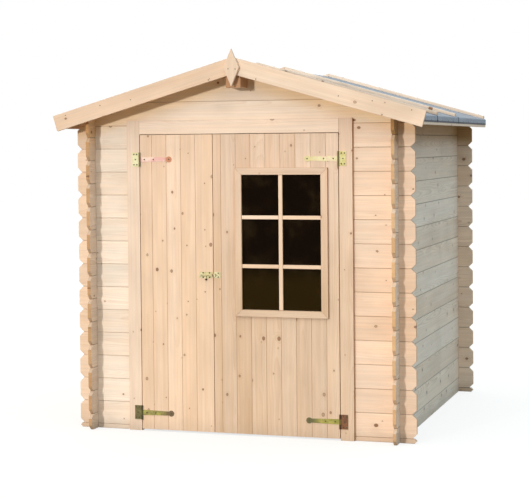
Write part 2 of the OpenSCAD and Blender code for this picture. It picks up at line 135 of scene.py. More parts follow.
class Net:
    """Short hand for laying nodes in a shader tree."""

    def __init__(self, tree: Tree) -> None:
        """Takes the tree to fill."""
        self.tree = tree

    def node(self, kind: str, **settings: object) -> Node:
        """Adds a node and sets its properties.

        Args:
            kind: Blender's name of the node.
            settings: values of its properties.

        Returns:
            The node.
        """
        made = self.tree.nodes.new(kind)
        for name, value in settings.items():
            setattr(made, name, value)
        return made

    def put(self, socket: Socket, value: object) -> None:
        """Links a socket to another one, or writes a plain value on it.

        Args:
            socket: the socket to fill.
            value: the other socket or the value.
        """
        if isinstance(value, Socket):
            self.tree.links.new(value, socket)
        else:
            socket.default_value = value

    def fill(self, sockets: Iterable[Socket], values: Iterable[object]) -> None:
        """Puts values on sockets in order."""
        for socket, value in zip(sockets, values):
            self.put(socket, value)

    def result(self, kind: str, values: dict[str, object] | Sequence[object], output: int | str = 0,
               **settings: object) -> Socket:
        """Adds a node, fills its inputs and gives one output.

        Args:
            kind: Blender's name of the node.
            values: what its inputs get, by name or in order.
            output: name or number of the output.
            settings: values of its properties.

        Returns:
            The output.
        """
        made = self.node(kind, **settings)
        inputs = [made.inputs[name] for name in values] if isinstance(values, dict) else made.inputs
        self.fill(inputs, values.values() if isinstance(values, dict) else values)
        return made.outputs[output]

    def math(self, operation: str, *values: object, clamp: bool = False) -> Socket:
        """Reckons with up to three values."""
        return self.result("ShaderNodeMath", values, operation=operation, use_clamp=clamp)

    def plus(self, *values: object) -> Socket:
        """Adds values up, from the first to the last."""
        return reduce(partial(self.math, "ADD"), values)

    def minus(self, first: object, second: object) -> Socket:
        """The first value less the second."""
        return self.math("SUBTRACT", first, second)

    def times(self, first: object, second: object, clamp: bool = False) -> Socket:
        """The product of two values."""
        return self.math("MULTIPLY", first, second, clamp=clamp)

    def over(self, first: object, second: object) -> Socket:
        """The first value divided by the second."""
        return self.math("DIVIDE", first, second)

    def swing(self, value: object, amount: float) -> Socket:
        """How far a value strays from one half, times an amount."""
        return self.times(self.minus(value, 0.5), amount)

    def vector(self, operation: str, *values: object) -> Socket:
        """Reckons with vectors: a length or a dot product is a number, the rest are vectors."""
        output = "Value" if operation in ("LENGTH", "DOT_PRODUCT") else "Vector"
        return self.result("ShaderNodeVectorMath", values, output, operation=operation)

    def scaled(self, vector: object, factor: object) -> Socket:
        """A vector or colour times a number."""
        return self.result("ShaderNodeVectorMath", {"Vector": vector, "Scale": factor}, operation="SCALE")

    def join(self, x: object, y: object, z: object) -> Socket:
        """A vector of three values."""
        return self.result("ShaderNodeCombineXYZ", (x, y, z))

    def split(self, vector: Socket) -> list[Socket]:
        """The three values of a vector or colour."""
        return list(self.result("ShaderNodeSeparateXYZ", (vector,)).node.outputs)

    def mix(self, factor: object, first: object, second: object, blend: str = "MIX") -> Socket:
        """Mixes two colours.

        Args:
            factor: share of the second one.
            first: the colour at 0.
            second: the colour at 1.
            blend: Blender's name of the way to mix.

        Returns:
            The colour.
        """
        made = self.node("ShaderNodeMix", data_type="RGBA", blend_type=blend)
        colour_sockets = (made.inputs[0], made.inputs[6], made.inputs[7])
        self.fill(colour_sockets, (factor, first, second))
        return made.outputs[2]

    def stained(self, colour: object, stain: object) -> Socket:
        """A colour darkened by another one."""
        return self.mix(1.0, colour, stain, "MULTIPLY")

    def ramp(self, value: object, start: object, end: object, low: float = 0.0, high: float = 1.0) -> Socket:
        """Leads a value smoothly from low, up to the start, to high, from the end on."""
        values = (value, start, end, low, high)
        return self.result("ShaderNodeMapRange", values, interpolation_type="SMOOTHSTEP")

    def noise(self, place: object, scale: float, detail: float = 2.0, rough: float = 0.5) -> Socket:
        """Soft noise round one half, with so many waves for each metre and so many finer layers."""
        values = {"Vector": place, "Scale": scale, "Detail": detail, "Roughness": rough}
        return self.result("ShaderNodeTexNoise", values, "Fac")

    def attribute(self, name: str, output: str) -> Socket:
        """Reads a value that the mesh carries."""
        return self.result("ShaderNodeAttribute", (), output, attribute_name=name)

    def place(self) -> Socket:
        """The place in the shared frame."""
        return self.result("ShaderNodeTexCoord", (), "Object")

    def group(self, tree: Tree, finish: object, given: dict[str, object]) -> Sockets:
        """Places a shared effect, whose other inputs take the finish's values of the same names.

        Args:
            tree: the effect.
            finish: the finish.
            given: what its inputs get besides.

        Returns:
            The effect's outputs.
        """
        made = self.node("ShaderNodeGroup", node_tree=tree)
        for socket in made.inputs:
            value = given.get(socket.name, getattr(finish, socket.name.lower().replace(" ", "_"), None))
            if value is not None:
                self.put(socket, tint(value) if isinstance(value, str) else value)
        return made.outputs

    def relief(self, shader: Node, height: Socket, strength: float, depth: float) -> None:
        """Raises a finish by a height, where a height of 1 measures the depth."""
        values = {"Strength": strength, "Distance": depth, "Height": height}
        self.put(shader.inputs["Normal"], self.result("ShaderNodeBump", values, "Normal"))


def new_finish(name: str) -> tuple[Material, Net, Node]:
    """Starts a finish.

    Args:
        name: the material's name.

    Returns:
        The material, a net on it and its shader.
    """
    made = bpy.data.materials.new(name)
    made.use_nodes = True
    return made, Net(made.node_tree), made.node_tree.nodes["Principled BSDF"]


@dataclass(frozen=True)
class WoodFigure:
    """Figure of the wood: lengths in metres, noise in waves for each metre, the rest shares."""

    seed_along: float = 3.71
    seed_across: float = 1.37
    knot_cell: Point = (0.23, 0.082)
    knot_squash: float = 0.8
    knot_least: float = 0.3
    knot_edge: Point = (1.1, 0.8)
    rim_outer: Point = (1.25, 0.95)
    rim_inner: Point = (0.95, 0.6)
    halo_edge: Point = (4.5, 0.6)
    ragged_scale: float = 240.0
    ragged_least: float = 0.8
    ragged_share: float = 0.4
    wander: Point = (1.1, 5.0)
    wander_depth: float = 0.045
    pith_aside: float = 0.17
    pith_near: float = 0.025
    pith_spread: float = 0.1
    taper: float = 0.03
    knot_push: float = 0.9
    late_rise: float = 2.2
    late_fall: Point = (1.0, 0.9)
    fibre: Point = (14.0, 620.0)
    streak: Point = (1.4, 34.0)
    streak_deep: float = 20.0
    band: Point = (2.1, 84.0)
    cloud: Point = (3.2, 9.0)
    board_warmth: float = 0.45
    streak_warmth: float = 0.9
    least_light: float = 0.95
    board_light: float = 0.09
    fibre_light: float = 0.1
    cloud_light: float = 0.26
    band_light: float = 0.28
    halo_share: float = 0.22
    knot_dark: Point = (0.45, 0.5)
    rim_share: float = 0.55
    rim_stain: Colour = (0.45, 0.42, 0.4, 1.0)
    joint_start: float = 0.0003
    end_limits: Point = (0.4, 0.9)
    rough: float = 0.56
    fibre_rough: float = 0.22
    knot_smooth: float = 0.14
    fibre_height: float = 0.35
    late_height: float = 0.4
    knot_height: float = 0.3


@dataclass(frozen=True)
class WeatherAndLightFigure:
    """Where wood and felt weather, and where shade and light are painted: lengths in metres, noise in waves
    for each metre, the rest shares.
    """

    patch_scale: float = 5.5
    up_limits: Point = (0.25, 0.8)
    up_ragged: float = 0.5
    splash_top: float = 0.1
    splash_ragged: float = 0.12
    stain_scale: float = 2.3
    stain_limits: Point = (0.52, 0.72)
    corner_limits: Point = (0.925, 0.945)
    painted_tip_shade_tint: Colour = (0.9, 0.82, 0.75, 1.0)
    roof_slope: float = 0.2867
    shelter_reach: float = 0.1
    fade_limits: Point = (0.8, 1.5)
    fade_stain: Colour = (1.08, 1.1, 1.17, 1.0)


class SharedEffects:
    """Node groups that several finishes use, each built once."""

    def __init__(self) -> None:
        """Builds the groups."""
        self.grain = self._grain(WoodFigure())
        self.weather_and_light = self._weather(WeatherAndLightFigure())
        self.patina = self._patina()

    @staticmethod
    def _new(name: str, inputs: dict[str, Sequence[str]],
             outputs: dict[str, Sequence[str]]) -> tuple[Tree, Net, Node, Node]:
        """Makes an empty group.

        Args:
            name: the group's name.
            inputs: names of its inputs, by kind.
            outputs: names of its outputs, by kind.

        Returns:
            The group, a net on it, and its input and output nodes.
        """
        tree = bpy.data.node_groups.new(name, "ShaderNodeTree")
        for way, sockets in (("INPUT", inputs), ("OUTPUT", outputs)):
            for kind, labels in sockets.items():
                for label in labels:
                    tree.interface.new_socket(label, in_out=way, socket_type="NodeSocket" + kind)
        net = Net(tree)
        return tree, net, net.node("NodeGroupInput"), net.node("NodeGroupOutput")

    @staticmethod
    def _knots(net: Net, put: Sockets, shifted: Socket,
               f: WoodFigure) -> tuple[Socket, ...]:
        """Scatters knots over a board.

        Args:
            net: the net on the grain's group.
            put: the group's inputs.
            shifted: the place along the board, moved by its seed.
            f: the figure.

        Returns:
            Masks of the knots, their rims and the wood round them, their radius and their shade.
        """
        across = net.split(put["Place"])[1]
        moved = net.plus(across, net.times(put["Seed"], f.seed_across))
        knot_at = net.join(net.over(shifted, f.knot_cell[0]), net.over(moved, f.knot_cell[1]), 0.0)
        cells = net.node("ShaderNodeTexVoronoi", voronoi_dimensions="2D")
        net.put(cells.inputs["Vector"], knot_at)
        cells.inputs["Scale"].default_value = 1.0
        size_of_cell = (f.knot_cell[0] * f.knot_squash, f.knot_cell[1], 0.0)
        aside = net.vector("SUBTRACT", knot_at, cells.outputs["Position"])
        apart = net.vector("MULTIPLY", aside, size_of_cell)
        ragged = net.noise(net.scaled(put["Place"], f.ragged_scale), 1.0)
        uneven = net.plus(f.ragged_least, net.times(ragged, f.ragged_share))
        reach = net.times(net.vector("LENGTH", apart), uneven)
        pick, size, shade = net.split(cells.outputs["Color"])
        present = net.math("LESS_THAN", pick, put["Knot Share"])
        radius = net.times(put["Knot Radius"], net.plus(f.knot_least, net.math("POWER", size, 2.0)))
        share = net.over(reach, radius)
        knot = net.times(net.ramp(share, *f.knot_edge), present)
        rim = net.times(net.minus(net.ramp(share, *f.rim_outer), net.ramp(share, *f.rim_inner)), present)
        halo = net.times(net.ramp(share, *f.halo_edge), present)
        return knot, rim, halo, radius, shade

    def _grain(self, f: WoodFigure) -> Tree:
        """Sawn softwood: growth rings round a pith, fibres, streaks, knots and dark board joints.

        Args:
            f: the figure.

        Returns:
            The group.
        """
        tree, net, given, out = self._new(
            "softwood_grain",
            {"Vector": ("Place",),
             "Float": ("Seed", "Half Width", "Ring Spacing", "Ring Depth", "Knot Share", "Knot Radius",
                       "Joint Depth", "Joint Reach", "End Face"),
             "Color": ("Pale", "Warm", "Late", "Knot", "Joint", "End Tint")},
            {"Color": ("Color",), "Float": ("Roughness", "Height")},
        )
        put = given.outputs
        along, across, deep = net.split(put["Place"])
        seed = put["Seed"]
        chance = net.node("ShaderNodeTexWhiteNoise", noise_dimensions="1D")
        net.put(chance.inputs["W"], seed)
        one, two, three = net.split(chance.outputs["Color"])
        shifted = net.plus(along, net.times(seed, f.seed_along))
        knot, rim, halo, radius, shade = self._knots(net, put, shifted, f)

        def stretched(waves: Point, third: object, detail: float = 2.0, rough: float = 0.5) -> Socket:
            """Noise drawn out along the board."""
            spot = net.join(net.times(shifted, waves[0]), net.times(across, waves[1]), third)
            return net.noise(spot, 1.0, detail, rough)

        pith = net.swing(one, f.pith_aside)
        below = net.plus(f.pith_near, net.times(two, f.pith_spread))
        flat = net.join(net.minus(across, pith), net.plus(deep, below), 0.0)
        ring = net.plus(
            net.vector("LENGTH", flat), net.times(stretched(f.wander, seed), f.wander_depth),
            net.times(along, net.swing(three, f.taper)), net.times(halo, net.times(radius, f.knot_push)),
        )
        turn = net.math("FRACT", net.over(ring, put["Ring Spacing"]))
        late = net.times(net.math("POWER", turn, f.late_rise), net.ramp(turn, *f.late_fall))

        fibre = stretched(f.fibre, net.times(deep, f.fibre[1]), 3.0, 0.6)
        streak = stretched(f.streak, net.plus(seed, net.times(deep, f.streak_deep)), 3.0, 0.55)
        band = stretched(f.band, seed, 3.0, 0.6)
        cloud = stretched(f.cloud, seed)
        warm_streak = net.times(streak, f.streak_warmth)
        warmth = net.math("ADD", net.swing(one, f.board_warmth), warm_streak, clamp=True)
        colour = net.mix(warmth, put["Pale"], put["Warm"])
        colour = net.mix(net.times(late, put["Ring Depth"]), colour, put["Late"])
        light = net.plus(f.least_light, net.times(two, f.board_light), net.swing(fibre, f.fibre_light),
                         net.swing(cloud, f.cloud_light), net.swing(band, f.band_light))
        colour = net.scaled(colour, light)
        colour = net.mix(net.times(halo, f.halo_share), colour, put["Late"])
        dark = net.times(knot, net.plus(f.knot_dark[0], net.times(shade, f.knot_dark[1])))
        colour = net.mix(dark, colour, put["Knot"])
        colour = net.mix(net.times(rim, f.rim_share), colour, net.stained(put["Knot"], f.rim_stain))
        edge = net.minus(put["Half Width"], net.math("ABSOLUTE", across))
        joint = net.times(net.ramp(edge, put["Joint Reach"], f.joint_start), put["Joint Depth"])
        colour = net.mix(joint, colour, put["Joint"])
        end = net.ramp(put["End Face"], *f.end_limits)
        colour = net.mix(end, colour, net.stained(colour, put["End Tint"]))

        net.put(out.inputs["Color"], colour)
        rough = net.minus(net.plus(f.rough, net.swing(fibre, f.fibre_rough)), net.times(knot, f.knot_smooth))
        net.put(out.inputs["Roughness"], rough)
        raised = net.plus(net.times(fibre, f.fibre_height), net.times(late, f.late_height))
        net.put(out.inputs["Height"], net.plus(raised, net.times(knot, f.knot_height)))
        return tree

    def _weather(self, f: WeatherAndLightFigure) -> Tree:
        """Grey on faces that look up, earth near the ground, stains, painted shade on the board tips past the
        corners and under the roof's edge, and painted light high up.

        Args:
            f: the figure.

        Returns:
            The group.
        """
        tree, net, given, out = self._new(
            "weathering_and_painted_light",
            {"Color": ("Color", "Grey", "Earth", "Shelter Tint"),
             "Float": ("Greying", "Splash", "Stain", "Ends", "Shelter", "Shelter Start", "Fade")},
            {"Color": ("Color",), "Float": ("Mask",)},
        )
        put = given.outputs
        place = net.place()
        facing = net.split(net.node("ShaderNodeNewGeometry").outputs["Normal"])[2]
        wide, _, height = net.split(place)
        aside = net.math("ABSOLUTE", wide)
        patches = net.noise(place, f.patch_scale, 4.0, 0.62)
        up = net.ramp(net.plus(facing, net.swing(patches, f.up_ragged)), *f.up_limits)
        grey = net.times(up, put["Greying"], clamp=True)
        low = net.ramp(net.plus(height, net.swing(patches, f.splash_ragged)), f.splash_top, 0.0)
        earth = net.times(low, put["Splash"], clamp=True)
        spots = net.ramp(net.noise(place, f.stain_scale, 3.0), *f.stain_limits)
        stain = net.times(spots, put["Stain"], clamp=True)
        colour = net.mix(stain, put["Color"], net.stained(put["Color"], put["Grey"]))
        # Painted shade: board tips past the corners are made darker and warmer.
        tip_shaded = net.times(net.ramp(aside, *f.corner_limits), put["Ends"])
        colour = net.mix(tip_shaded, colour, net.stained(colour, f.painted_tip_shade_tint))
        # Painted shade: a yellow-brown darkening in a band under the roof's edge, where the bargeboards and
        # eaves cast shade.
        roofline = net.plus(height, net.times(aside, f.roof_slope))
        start = put["Shelter Start"]
        roof_shaded = net.times(net.ramp(roofline, start, net.plus(start, f.shelter_reach)), put["Shelter"])
        colour = net.mix(roof_shaded, colour, net.stained(colour, put["Shelter Tint"]))
        # Painted light: the upper parts are brightened, as if better lit.
        top_lit = net.times(net.ramp(height, *f.fade_limits), put["Fade"])
        colour = net.mix(top_lit, colour, net.stained(colour, f.fade_stain))
        colour = net.mix(grey, colour, put["Grey"])
        net.put(out.inputs["Color"], net.mix(earth, colour, put["Earth"]))
        net.put(out.inputs["Mask"], net.math("MAXIMUM", grey, earth))
        return tree

    def _patina(self) -> Tree:
        """Passivated zinc: drifting yellow, green and rose, with dull spots and painted shade near the pin,
        partly darker worn metal.

        Returns:
            The group.
        """
        tree, net, given, out = self._new(
            "zinc_patina",
            {"Color": ("Main", "Drift", "Dull", "Dark", "Tip"),
             "Float": ("Wear", "Away", "Pin Shade Reach", "Tip Start", "Tip End")},
            {"Color": ("Color",), "Float": ("Roughness", "Height")},
        )
        put = given.outputs
        place = net.place()
        drift_scale, spot_scale, fine_scale = 26.0, 210.0, 900.0
        base_rough, spot_rough, fine_rough = 0.56, 0.2, 0.12
        pin_shade_edge, pin_shade_share = 0.75, 0.85
        drift = net.ramp(net.noise(place, drift_scale), 0.38, 0.62)
        spots = net.ramp(net.noise(place, spot_scale, 3.0, 0.7), 0.5, 0.72)
        fine = net.noise(place, fine_scale)
        colour = net.mix(drift, put["Main"], put["Drift"])
        colour = net.mix(net.ramp(put["Away"], put["Tip Start"], put["Tip End"]), colour, put["Tip"])
        colour = net.mix(net.times(spots, put["Wear"], clamp=True), colour, put["Dull"])
        # Painted shade of the knuckle and the gap at the pin, partly darker worn metal.
        near = net.ramp(put["Away"], put["Pin Shade Reach"], net.times(put["Pin Shade Reach"], pin_shade_edge))
        net.put(out.inputs["Color"], net.mix(net.times(near, pin_shade_share), colour, put["Dark"]))
        rough = net.plus(base_rough, net.times(spots, spot_rough), net.times(fine, fine_rough))
        net.put(out.inputs["Roughness"], rough)
        net.put(out.inputs["Height"], net.plus(fine, spots))
        return tree


@dataclass(frozen=True)
class WoodFinish:
    """Planed spruce, new or weathered."""

    name: str
    pale: str = "#f8dec5"
    warm: str = "#efc6a2"
    late: str = "#dfb592"
    knot: str = "#8d5c38"
    joint: str = "#a97c54"
    grey: str = "#b9b0a4"
    earth: str = "#a48d74"
    ring_spacing: float = 0.0036
    ring_depth: float = 0.34
    knot_share: float = 0.42
    knot_radius: float = 0.0085
    joint_depth: float = 0.8
    joint_reach: float = 0.0035
    end_tint: str = "#e4d5c2"
    greying: float = 0.25
    splash: float = 0.35
    stain: float = 0.12
    # Painted shade on the board tips past the corners.
    ends: float = 0.0
    # Painted shade under the roof's edge: its amount, the roofline height where it starts, and its tint.
    shelter: float = 0.0
    shelter_start: float = 1.95
    shelter_tint: Colour = (1.0, 0.9, 0.7, 1.0)
    # Painted light that brightens the upper parts.
    fade: float = 0.0
    weather_rough: float = 0.2
    gloss: float = 0.15
    bump: float = 0.35
    relief: float = 0.0006

    def material(self, effects: SharedEffects) -> Material:
        """Builds the finish.

        Args:
            effects: the shared node groups.

        Returns:
            The material.
        """
        made, net, shader = new_finish(self.name)
        grain = net.group(effects.grain, self, {
            "Place": net.attribute("grain_place", "Vector"), "Seed": net.attribute("grain_seed", "Fac"),
            "Half Width": net.attribute("grain_half", "Fac"), "End Face": net.attribute("grain_end", "Fac"),
        })
        weather_and_light = net.group(effects.weather_and_light, self, {"Color": grain["Color"]})
        net.put(shader.inputs["Base Color"], weather_and_light["Color"])
        rough = net.plus(grain["Roughness"], net.times(weather_and_light["Mask"], self.weather_rough))
        net.put(shader.inputs["Roughness"], rough)
        shader.inputs["Specular IOR Level"].default_value = self.gloss
        net.relief(shader, grain["Height"], self.bump, self.relief)
        return made


@dataclass(frozen=True)
class ZincFinish:
    """Yellow passivated zinc on pressed steel, with painted shade at the pin that is partly darker worn
    metal, and tarnished at the tip.
    """

    name: str
    main: str = "#e6d98c"
    drift: str = "#cbbd6a"
    dull: str = "#8b7a45"
    wear: float = 0.55
    metallic: float = 0.12
    # Dark: painted shade at the pin, partly darker worn metal.
    dark: str = "#5a5028"
    pin_shade_reach: float = 0.007
    tip: str = "#e6d98c"
    tip_span: Point = (100.0, 200.0)
    axis: int = 0
    start: float = -9.0
    bump: float = 0.15
    relief: float = 0.0002

    def material(self, effects: SharedEffects) -> Material:
        """Builds the finish.

        Args:
            effects: the shared node groups.

        Returns:
            The material.
        """
        made, net, shader = new_finish(self.name)
        along = net.split(net.place())[self.axis]
        away = net.math("ABSOLUTE", net.minus(along, self.start))
        spread = {"Away": away, "Tip Start": self.tip_span[0], "Tip End": self.tip_span[1]}
        patina = net.group(effects.patina, self, spread)
        net.put(shader.inputs["Base Color"], patina["Color"])
        net.put(shader.inputs["Roughness"], patina["Roughness"])
        shader.inputs["Metallic"].default_value = self.metallic
        net.relief(shader, patina["Height"], self.bump, self.relief)
        return made


@dataclass(frozen=True)
class FeltFinish:
    """Blue-grey roofing felt with mineral grit, dark bitumen at the lapped edges that also stands in for the
    shade under them, and a painted shadow along the drip edge.
    """

    name: str = "roofing_felt"
    light: str = "#9a9ca1"
    dark: str = "#72767e"
    grit: str = "#b4bac4"
    hollow: str = "#3f4650"
    dust: str = "#a9a299"
    bitumen: str = "#2a2f38"
    patch_scale: float = 7.0
    patch_limits: Point = (0.12, 0.88)
    grit_scale: float = 620.0
    grit_share: float = 0.6
    hollow_share: float = 0.5
    edge_limits: Point = (0.6, 0.85)
    greying: float = 0.12
    stain: float = 0.2
    rough: float = 0.55
    grit_rough: float = 0.2
    bump: float = 0.6
    relief: float = 0.0008

    def material(self, effects: SharedEffects) -> Material:
        """Builds the finish.

        Args:
            effects: the shared node groups.

        Returns:
            The material.
        """
        made, net, shader = new_finish(self.name)
        place = net.place()
        patches = net.ramp(net.noise(place, self.patch_scale, 5.0, 0.68), *self.patch_limits)
        grains = net.node("ShaderNodeTexVoronoi")
        net.put(grains.inputs["Vector"], place)
        grains.inputs["Scale"].default_value = self.grit_scale
        chance = net.split(grains.outputs["Color"])[0]
        colour = net.mix(patches, tint(self.dark), tint(self.light))
        colour = net.mix(net.times(net.ramp(chance, 0.55, 1.0), self.grit_share), colour, tint(self.grit))
        colour = net.mix(net.times(net.ramp(chance, 0.4, 0.0), self.hollow_share), colour, tint(self.hollow))
        # Dark bitumen at the laps, also painted shade under the lifted edges, and a painted shadow along the
        # drip edge.
        cut = net.ramp(net.attribute("lap_edge", "Fac"), *self.edge_limits)
        colour = net.mix(cut, colour, tint(self.bitumen))
        given = {"Color": colour, "Grey": self.dust, "Earth": self.dust}
        weather_and_light = net.group(effects.weather_and_light, self, given)
        net.put(shader.inputs["Base Color"], weather_and_light["Color"])
        net.put(shader.inputs["Roughness"], net.plus(self.rough, net.times(chance, self.grit_rough)))
        net.relief(shader, grains.outputs["Distance"], self.bump, self.relief)
        return made


@dataclass(frozen=True)
class GlassFinish:
    """Thin window glass with faint dust that is partly a painted reflection, and a painted brownish
    reflection in the lowest panes.
    """

    name: str = "pane_glass"
    body: str = "#1e1004"
    low_body: str = "#3f2e0a"
    low_limits: Point = (1.02, 0.86)
    dust: str = "#5a4626"
    dust_scale: float = 9.0
    dust_share: float = 0.4
    rough: float = 0.03
    dust_rough: float = 0.1
    clearness: float = 0.6
    ior: float = 1.12
    gloss: float = 0.04

    def material(self) -> Material:
        """Builds the finish.

        Returns:
            The material.
        """
        made, net, shader = new_finish(self.name)
        place = net.place()
        film = net.ramp(net.noise(place, self.dust_scale, 5.0, 0.65), 0.45, 0.8)
        # Painted reflection: the lowest panes are browner.
        low = net.ramp(net.split(place)[2], *self.low_limits)
        body = net.mix(low, tint(self.body), tint(self.low_body))
        net.put(shader.inputs["Base Color"], net.mix(net.times(film, self.dust_share), body, tint(self.dust)))
        net.put(shader.inputs["Roughness"], net.plus(self.rough, net.times(film, self.dust_rough)))
        shader.inputs["Transmission Weight"].default_value = self.clearness
        shader.inputs["IOR"].default_value = self.ior
        shader.inputs["Specular IOR Level"].default_value = self.gloss
        return made


@dataclass(frozen=True)
class House:
    """Sizes that the walls, roof and trim share, in metres."""

    half_w: float = 0.92
    depth: float = 1.84
    wall_t: float = 0.02
    board_h: float = 0.135
    starter_h: float = 0.026
    end_l: float = 0.095
    end_chamfer: float = 0.026
    notch_gap: float = HAIR
    groove: float = 0.0022
    side_h: float = 1.8485
    pitch: float = math.radians(16)
    eave_x: float = 1.083
    roof_front: float = FRONT - 0.12
    deck_back: float = BACK + 0.132
    purlin_half: float = 0.045
    purlin_h: float = 0.125
    door_left: float = -0.615
    door_right: float = 0.585
    door_h: float = 1.73

    @property
    def slope(self) -> float:
        """Rise of the roof for each metre across."""
        return math.tan(self.pitch)

    @property
    def ridge(self) -> float:
        """Height of the line of the wall tops at the ridge."""
        return self.side_h + self.half_w * self.slope

    @property
    def reach(self) -> float:
        """Distance of the board tips of the front wall from the middle."""
        return self.half_w + self.end_l

    def under(self, x: float) -> float:
        """Height of the line of the wall tops at x."""
        return self.ridge - abs(x) * self.slope

    def on_slope(self, x: float, n: float) -> Point:
        """Point at x, n above the line of the wall tops, square to the slope."""
        return (x, self.under(x) + n / math.cos(self.pitch))


@dataclass
class Grain:
    """Directions of a board: along its fibres and out of its face."""

    along: Vector
    out: Vector

    @property
    def across(self) -> Vector:
        """Direction of the board's width."""
        return self.out.cross(self.along).normalized()


ALONG_X = Grain(Vector((1, 0, 0)), OUTWARD)
ALONG_Z = Grain(Vector((0, 0, 1)), OUTWARD)
BEHIND_X = Grain(Vector((-1, 0, 0)), Vector((0, 1, 0)))


@dataclass
class Board:
    """One board to cut: its drawing, its thickness from start to end, its wood and its edges."""

    outline: Sequence[Point]
    start: float
    end: float
    grain: Grain
    plane: Plane = Plane.UPRIGHT
    joint: float = 0.0
    ease: float = 0.0011


class BoardSet:
    """Boards joined into one mesh, each with its own grain and seed."""

    def __init__(self, seed: int) -> None:
        """Starts an empty set.

        Args:
            seed: start of the draws.
        """
        self.draw = random.Random(seed)
        self.points: list[tuple[float, float, float]] = []
        self.faces: list[list[int]] = []
        self.places: list[float] = []
        self.seeds: list[float] = []
        self.halves: list[float] = []
        self.ends: list[float] = []

    def add(self, board: Board) -> None:
        """Cuts one board, with chamfers along its joints and eased edges.

        Args:
            board: the board.
        """
        shape = bmesh.new()
        corners = [board.plane.point(a, b, board.start) for a, b in board.outline]
        face = shape.faces.new([shape.verts.new(corner) for corner in corners])
        grown = bmesh.ops.extrude_face_region(shape, geom=[face])["geom"]
        moved = [v for v in grown if isinstance(v, bmesh.types.BMVert)]
        bmesh.ops.translate(shape, verts=moved, vec=board.plane.normal() * (board.end - board.start))
        bmesh.ops.recalc_face_normals(shape, faces=shape.faces)
        if board.joint > 0:
            self._bevel(shape, self._long_edges(shape, board.grain), board.joint, 1)
        if board.ease > 0:
            self._bevel(shape, [e for e in shape.edges if e.calc_face_angle(0.0) > SHARP], board.ease, 2)
        shape.normal_update()
        self._take(shape, board.grain)

    @staticmethod
    def _long_edges(shape: Shape, grain: Grain) -> list[bmesh.types.BMEdge]:
        """Finds the edges along the grain at the two sides of a board.

        Args:
            shape: the board.
            grain: its wood.

        Returns:
            The edges.
        """
        sides = [v.co.dot(grain.across) for v in shape.verts]
        limits = (min(sides), max(sides))
        return [
            e for e in shape.edges
            if abs((e.verts[0].co - e.verts[1].co).normalized().dot(grain.along)) > PARALLEL
            and any(abs(e.verts[0].co.dot(grain.across) - limit) < NEAR for limit in limits)
        ]

    @staticmethod
    def _bevel(shape: Shape, edges: list[bmesh.types.BMEdge], width: float, steps: int) -> None:
        """Cuts a bevel along edges.

        Args:
            shape: the board.
            edges: where to cut.
            width: how far the cut reaches.
            steps: how many faces round it.
        """
        if edges:
            bmesh.ops.bevel(shape, geom=edges, offset=width, offset_type="OFFSET", segments=steps,
                            profile=0.5, affect="EDGES", clamp_overlap=True)

    def _take(self, shape: Shape, grain: Grain) -> None:
        """Copies a finished board into the set and frees it.

        Args:
            shape: the board.
            grain: its wood.
        """
        axes = (grain.along, grain.across, grain.out)
        local = [[v.co.dot(axis) for axis in axes] for v in shape.verts]
        lows = [min(row[i] for row in local) for i in range(3)]
        highs = [max(row[i] for row in local) for i in range(3)]
        middle = [(a + b) / 2 for a, b in zip(lows, highs)]
        middle[2] = highs[2]
        seed = self.draw.uniform(1.0, 90.0)
        shape.verts.index_update()
        base = len(self.points)
        for row, vert in zip(local, shape.verts):
            self.points.append(tuple(vert.co))
            self.places.extend(a - b for a, b in zip(row, middle))
            self.seeds.append(seed)
            self.halves.append((highs[1] - lows[1]) / 2)
        self.faces.extend([base + v.index for v in face.verts] for face in shape.faces)
        self.ends.extend(abs(face.normal.dot(grain.along)) for face in shape.faces)
        shape.free()

    def to_object(self, name: str) -> Piece:
        """Makes the mesh object of the set.

        Args:
            name: the piece's name.

        Returns:
            The object, linked to the scene.
        """
        mesh = bpy.data.meshes.new(name)
        mesh.from_pydata(self.points, [], self.faces)
        for label, kind, domain, key, values in (
            ("grain_place", "FLOAT_VECTOR", "POINT", "vector", self.places),
            ("grain_seed", "FLOAT", "POINT", "value", self.seeds),
            ("grain_half", "FLOAT", "POINT", "value", self.halves),
            ("grain_end", "FLOAT", "FACE", "value", self.ends),
        ):
            mesh.attributes.new(label, kind, domain).data.foreach_set(key, values)
        mesh.validate()
        return linked(name, mesh)


def linked(name: str, data: bpy.types.ID) -> Piece:
    """Puts a mesh, a lamp or a camera into the scene.

    Args:
        name: the object's name.
        data: what it holds.

    Returns:
        The object.
    """
    made = bpy.data.objects.new(name, data)
    bpy.context.scene.collection.objects.link(made)
    return made


def from_shape(name: str, shape: Shape) -> Piece:
    """Makes an object of a shape, and frees the shape.

    Args:
        name: the object's name.
        shape: the shape.

    Returns:
        The object.
    """
    mesh = bpy.data.meshes.new(name)
    shape.to_mesh(mesh)
    shape.free()
    return linked(name, mesh)


def settle(piece: Piece, material: Material, body: Body, slot: Slot, *nodes: str) -> None:
    """Gives a piece its finish and its body, and hides the nodes that it stands for.

    Args:
        piece: the new object.
        material: its finish.
        body: the body that it moves with.
        slot: not used.
        nodes: names of the solids that it replaces.
    """
    piece.data.materials.append(material)
    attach(piece, body.value)
    if nodes:
        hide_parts(*nodes)
    log.info("%s: %d faces on %s", piece.name, len(piece.data.polygons), body.value)


def lay(name: str, boards: Iterable[Board], material: Material, body: Body, slot: Slot, *nodes: str,
        seed: int) -> None:
    """Cuts boards into one piece and settles it.

    Args:
        name: the piece's name.
        boards: the boards, in the order of their draws.
        material: the piece's finish.
        body: the body that it moves with.
        slot: the record's slot of its finish.
        nodes: names of the solids that it replaces.
        seed: start of the draws.
    """
    made = BoardSet(seed)
    for board in boards:
        made.add(board)
    settle(made.to_object(name), material, body, slot, *nodes)


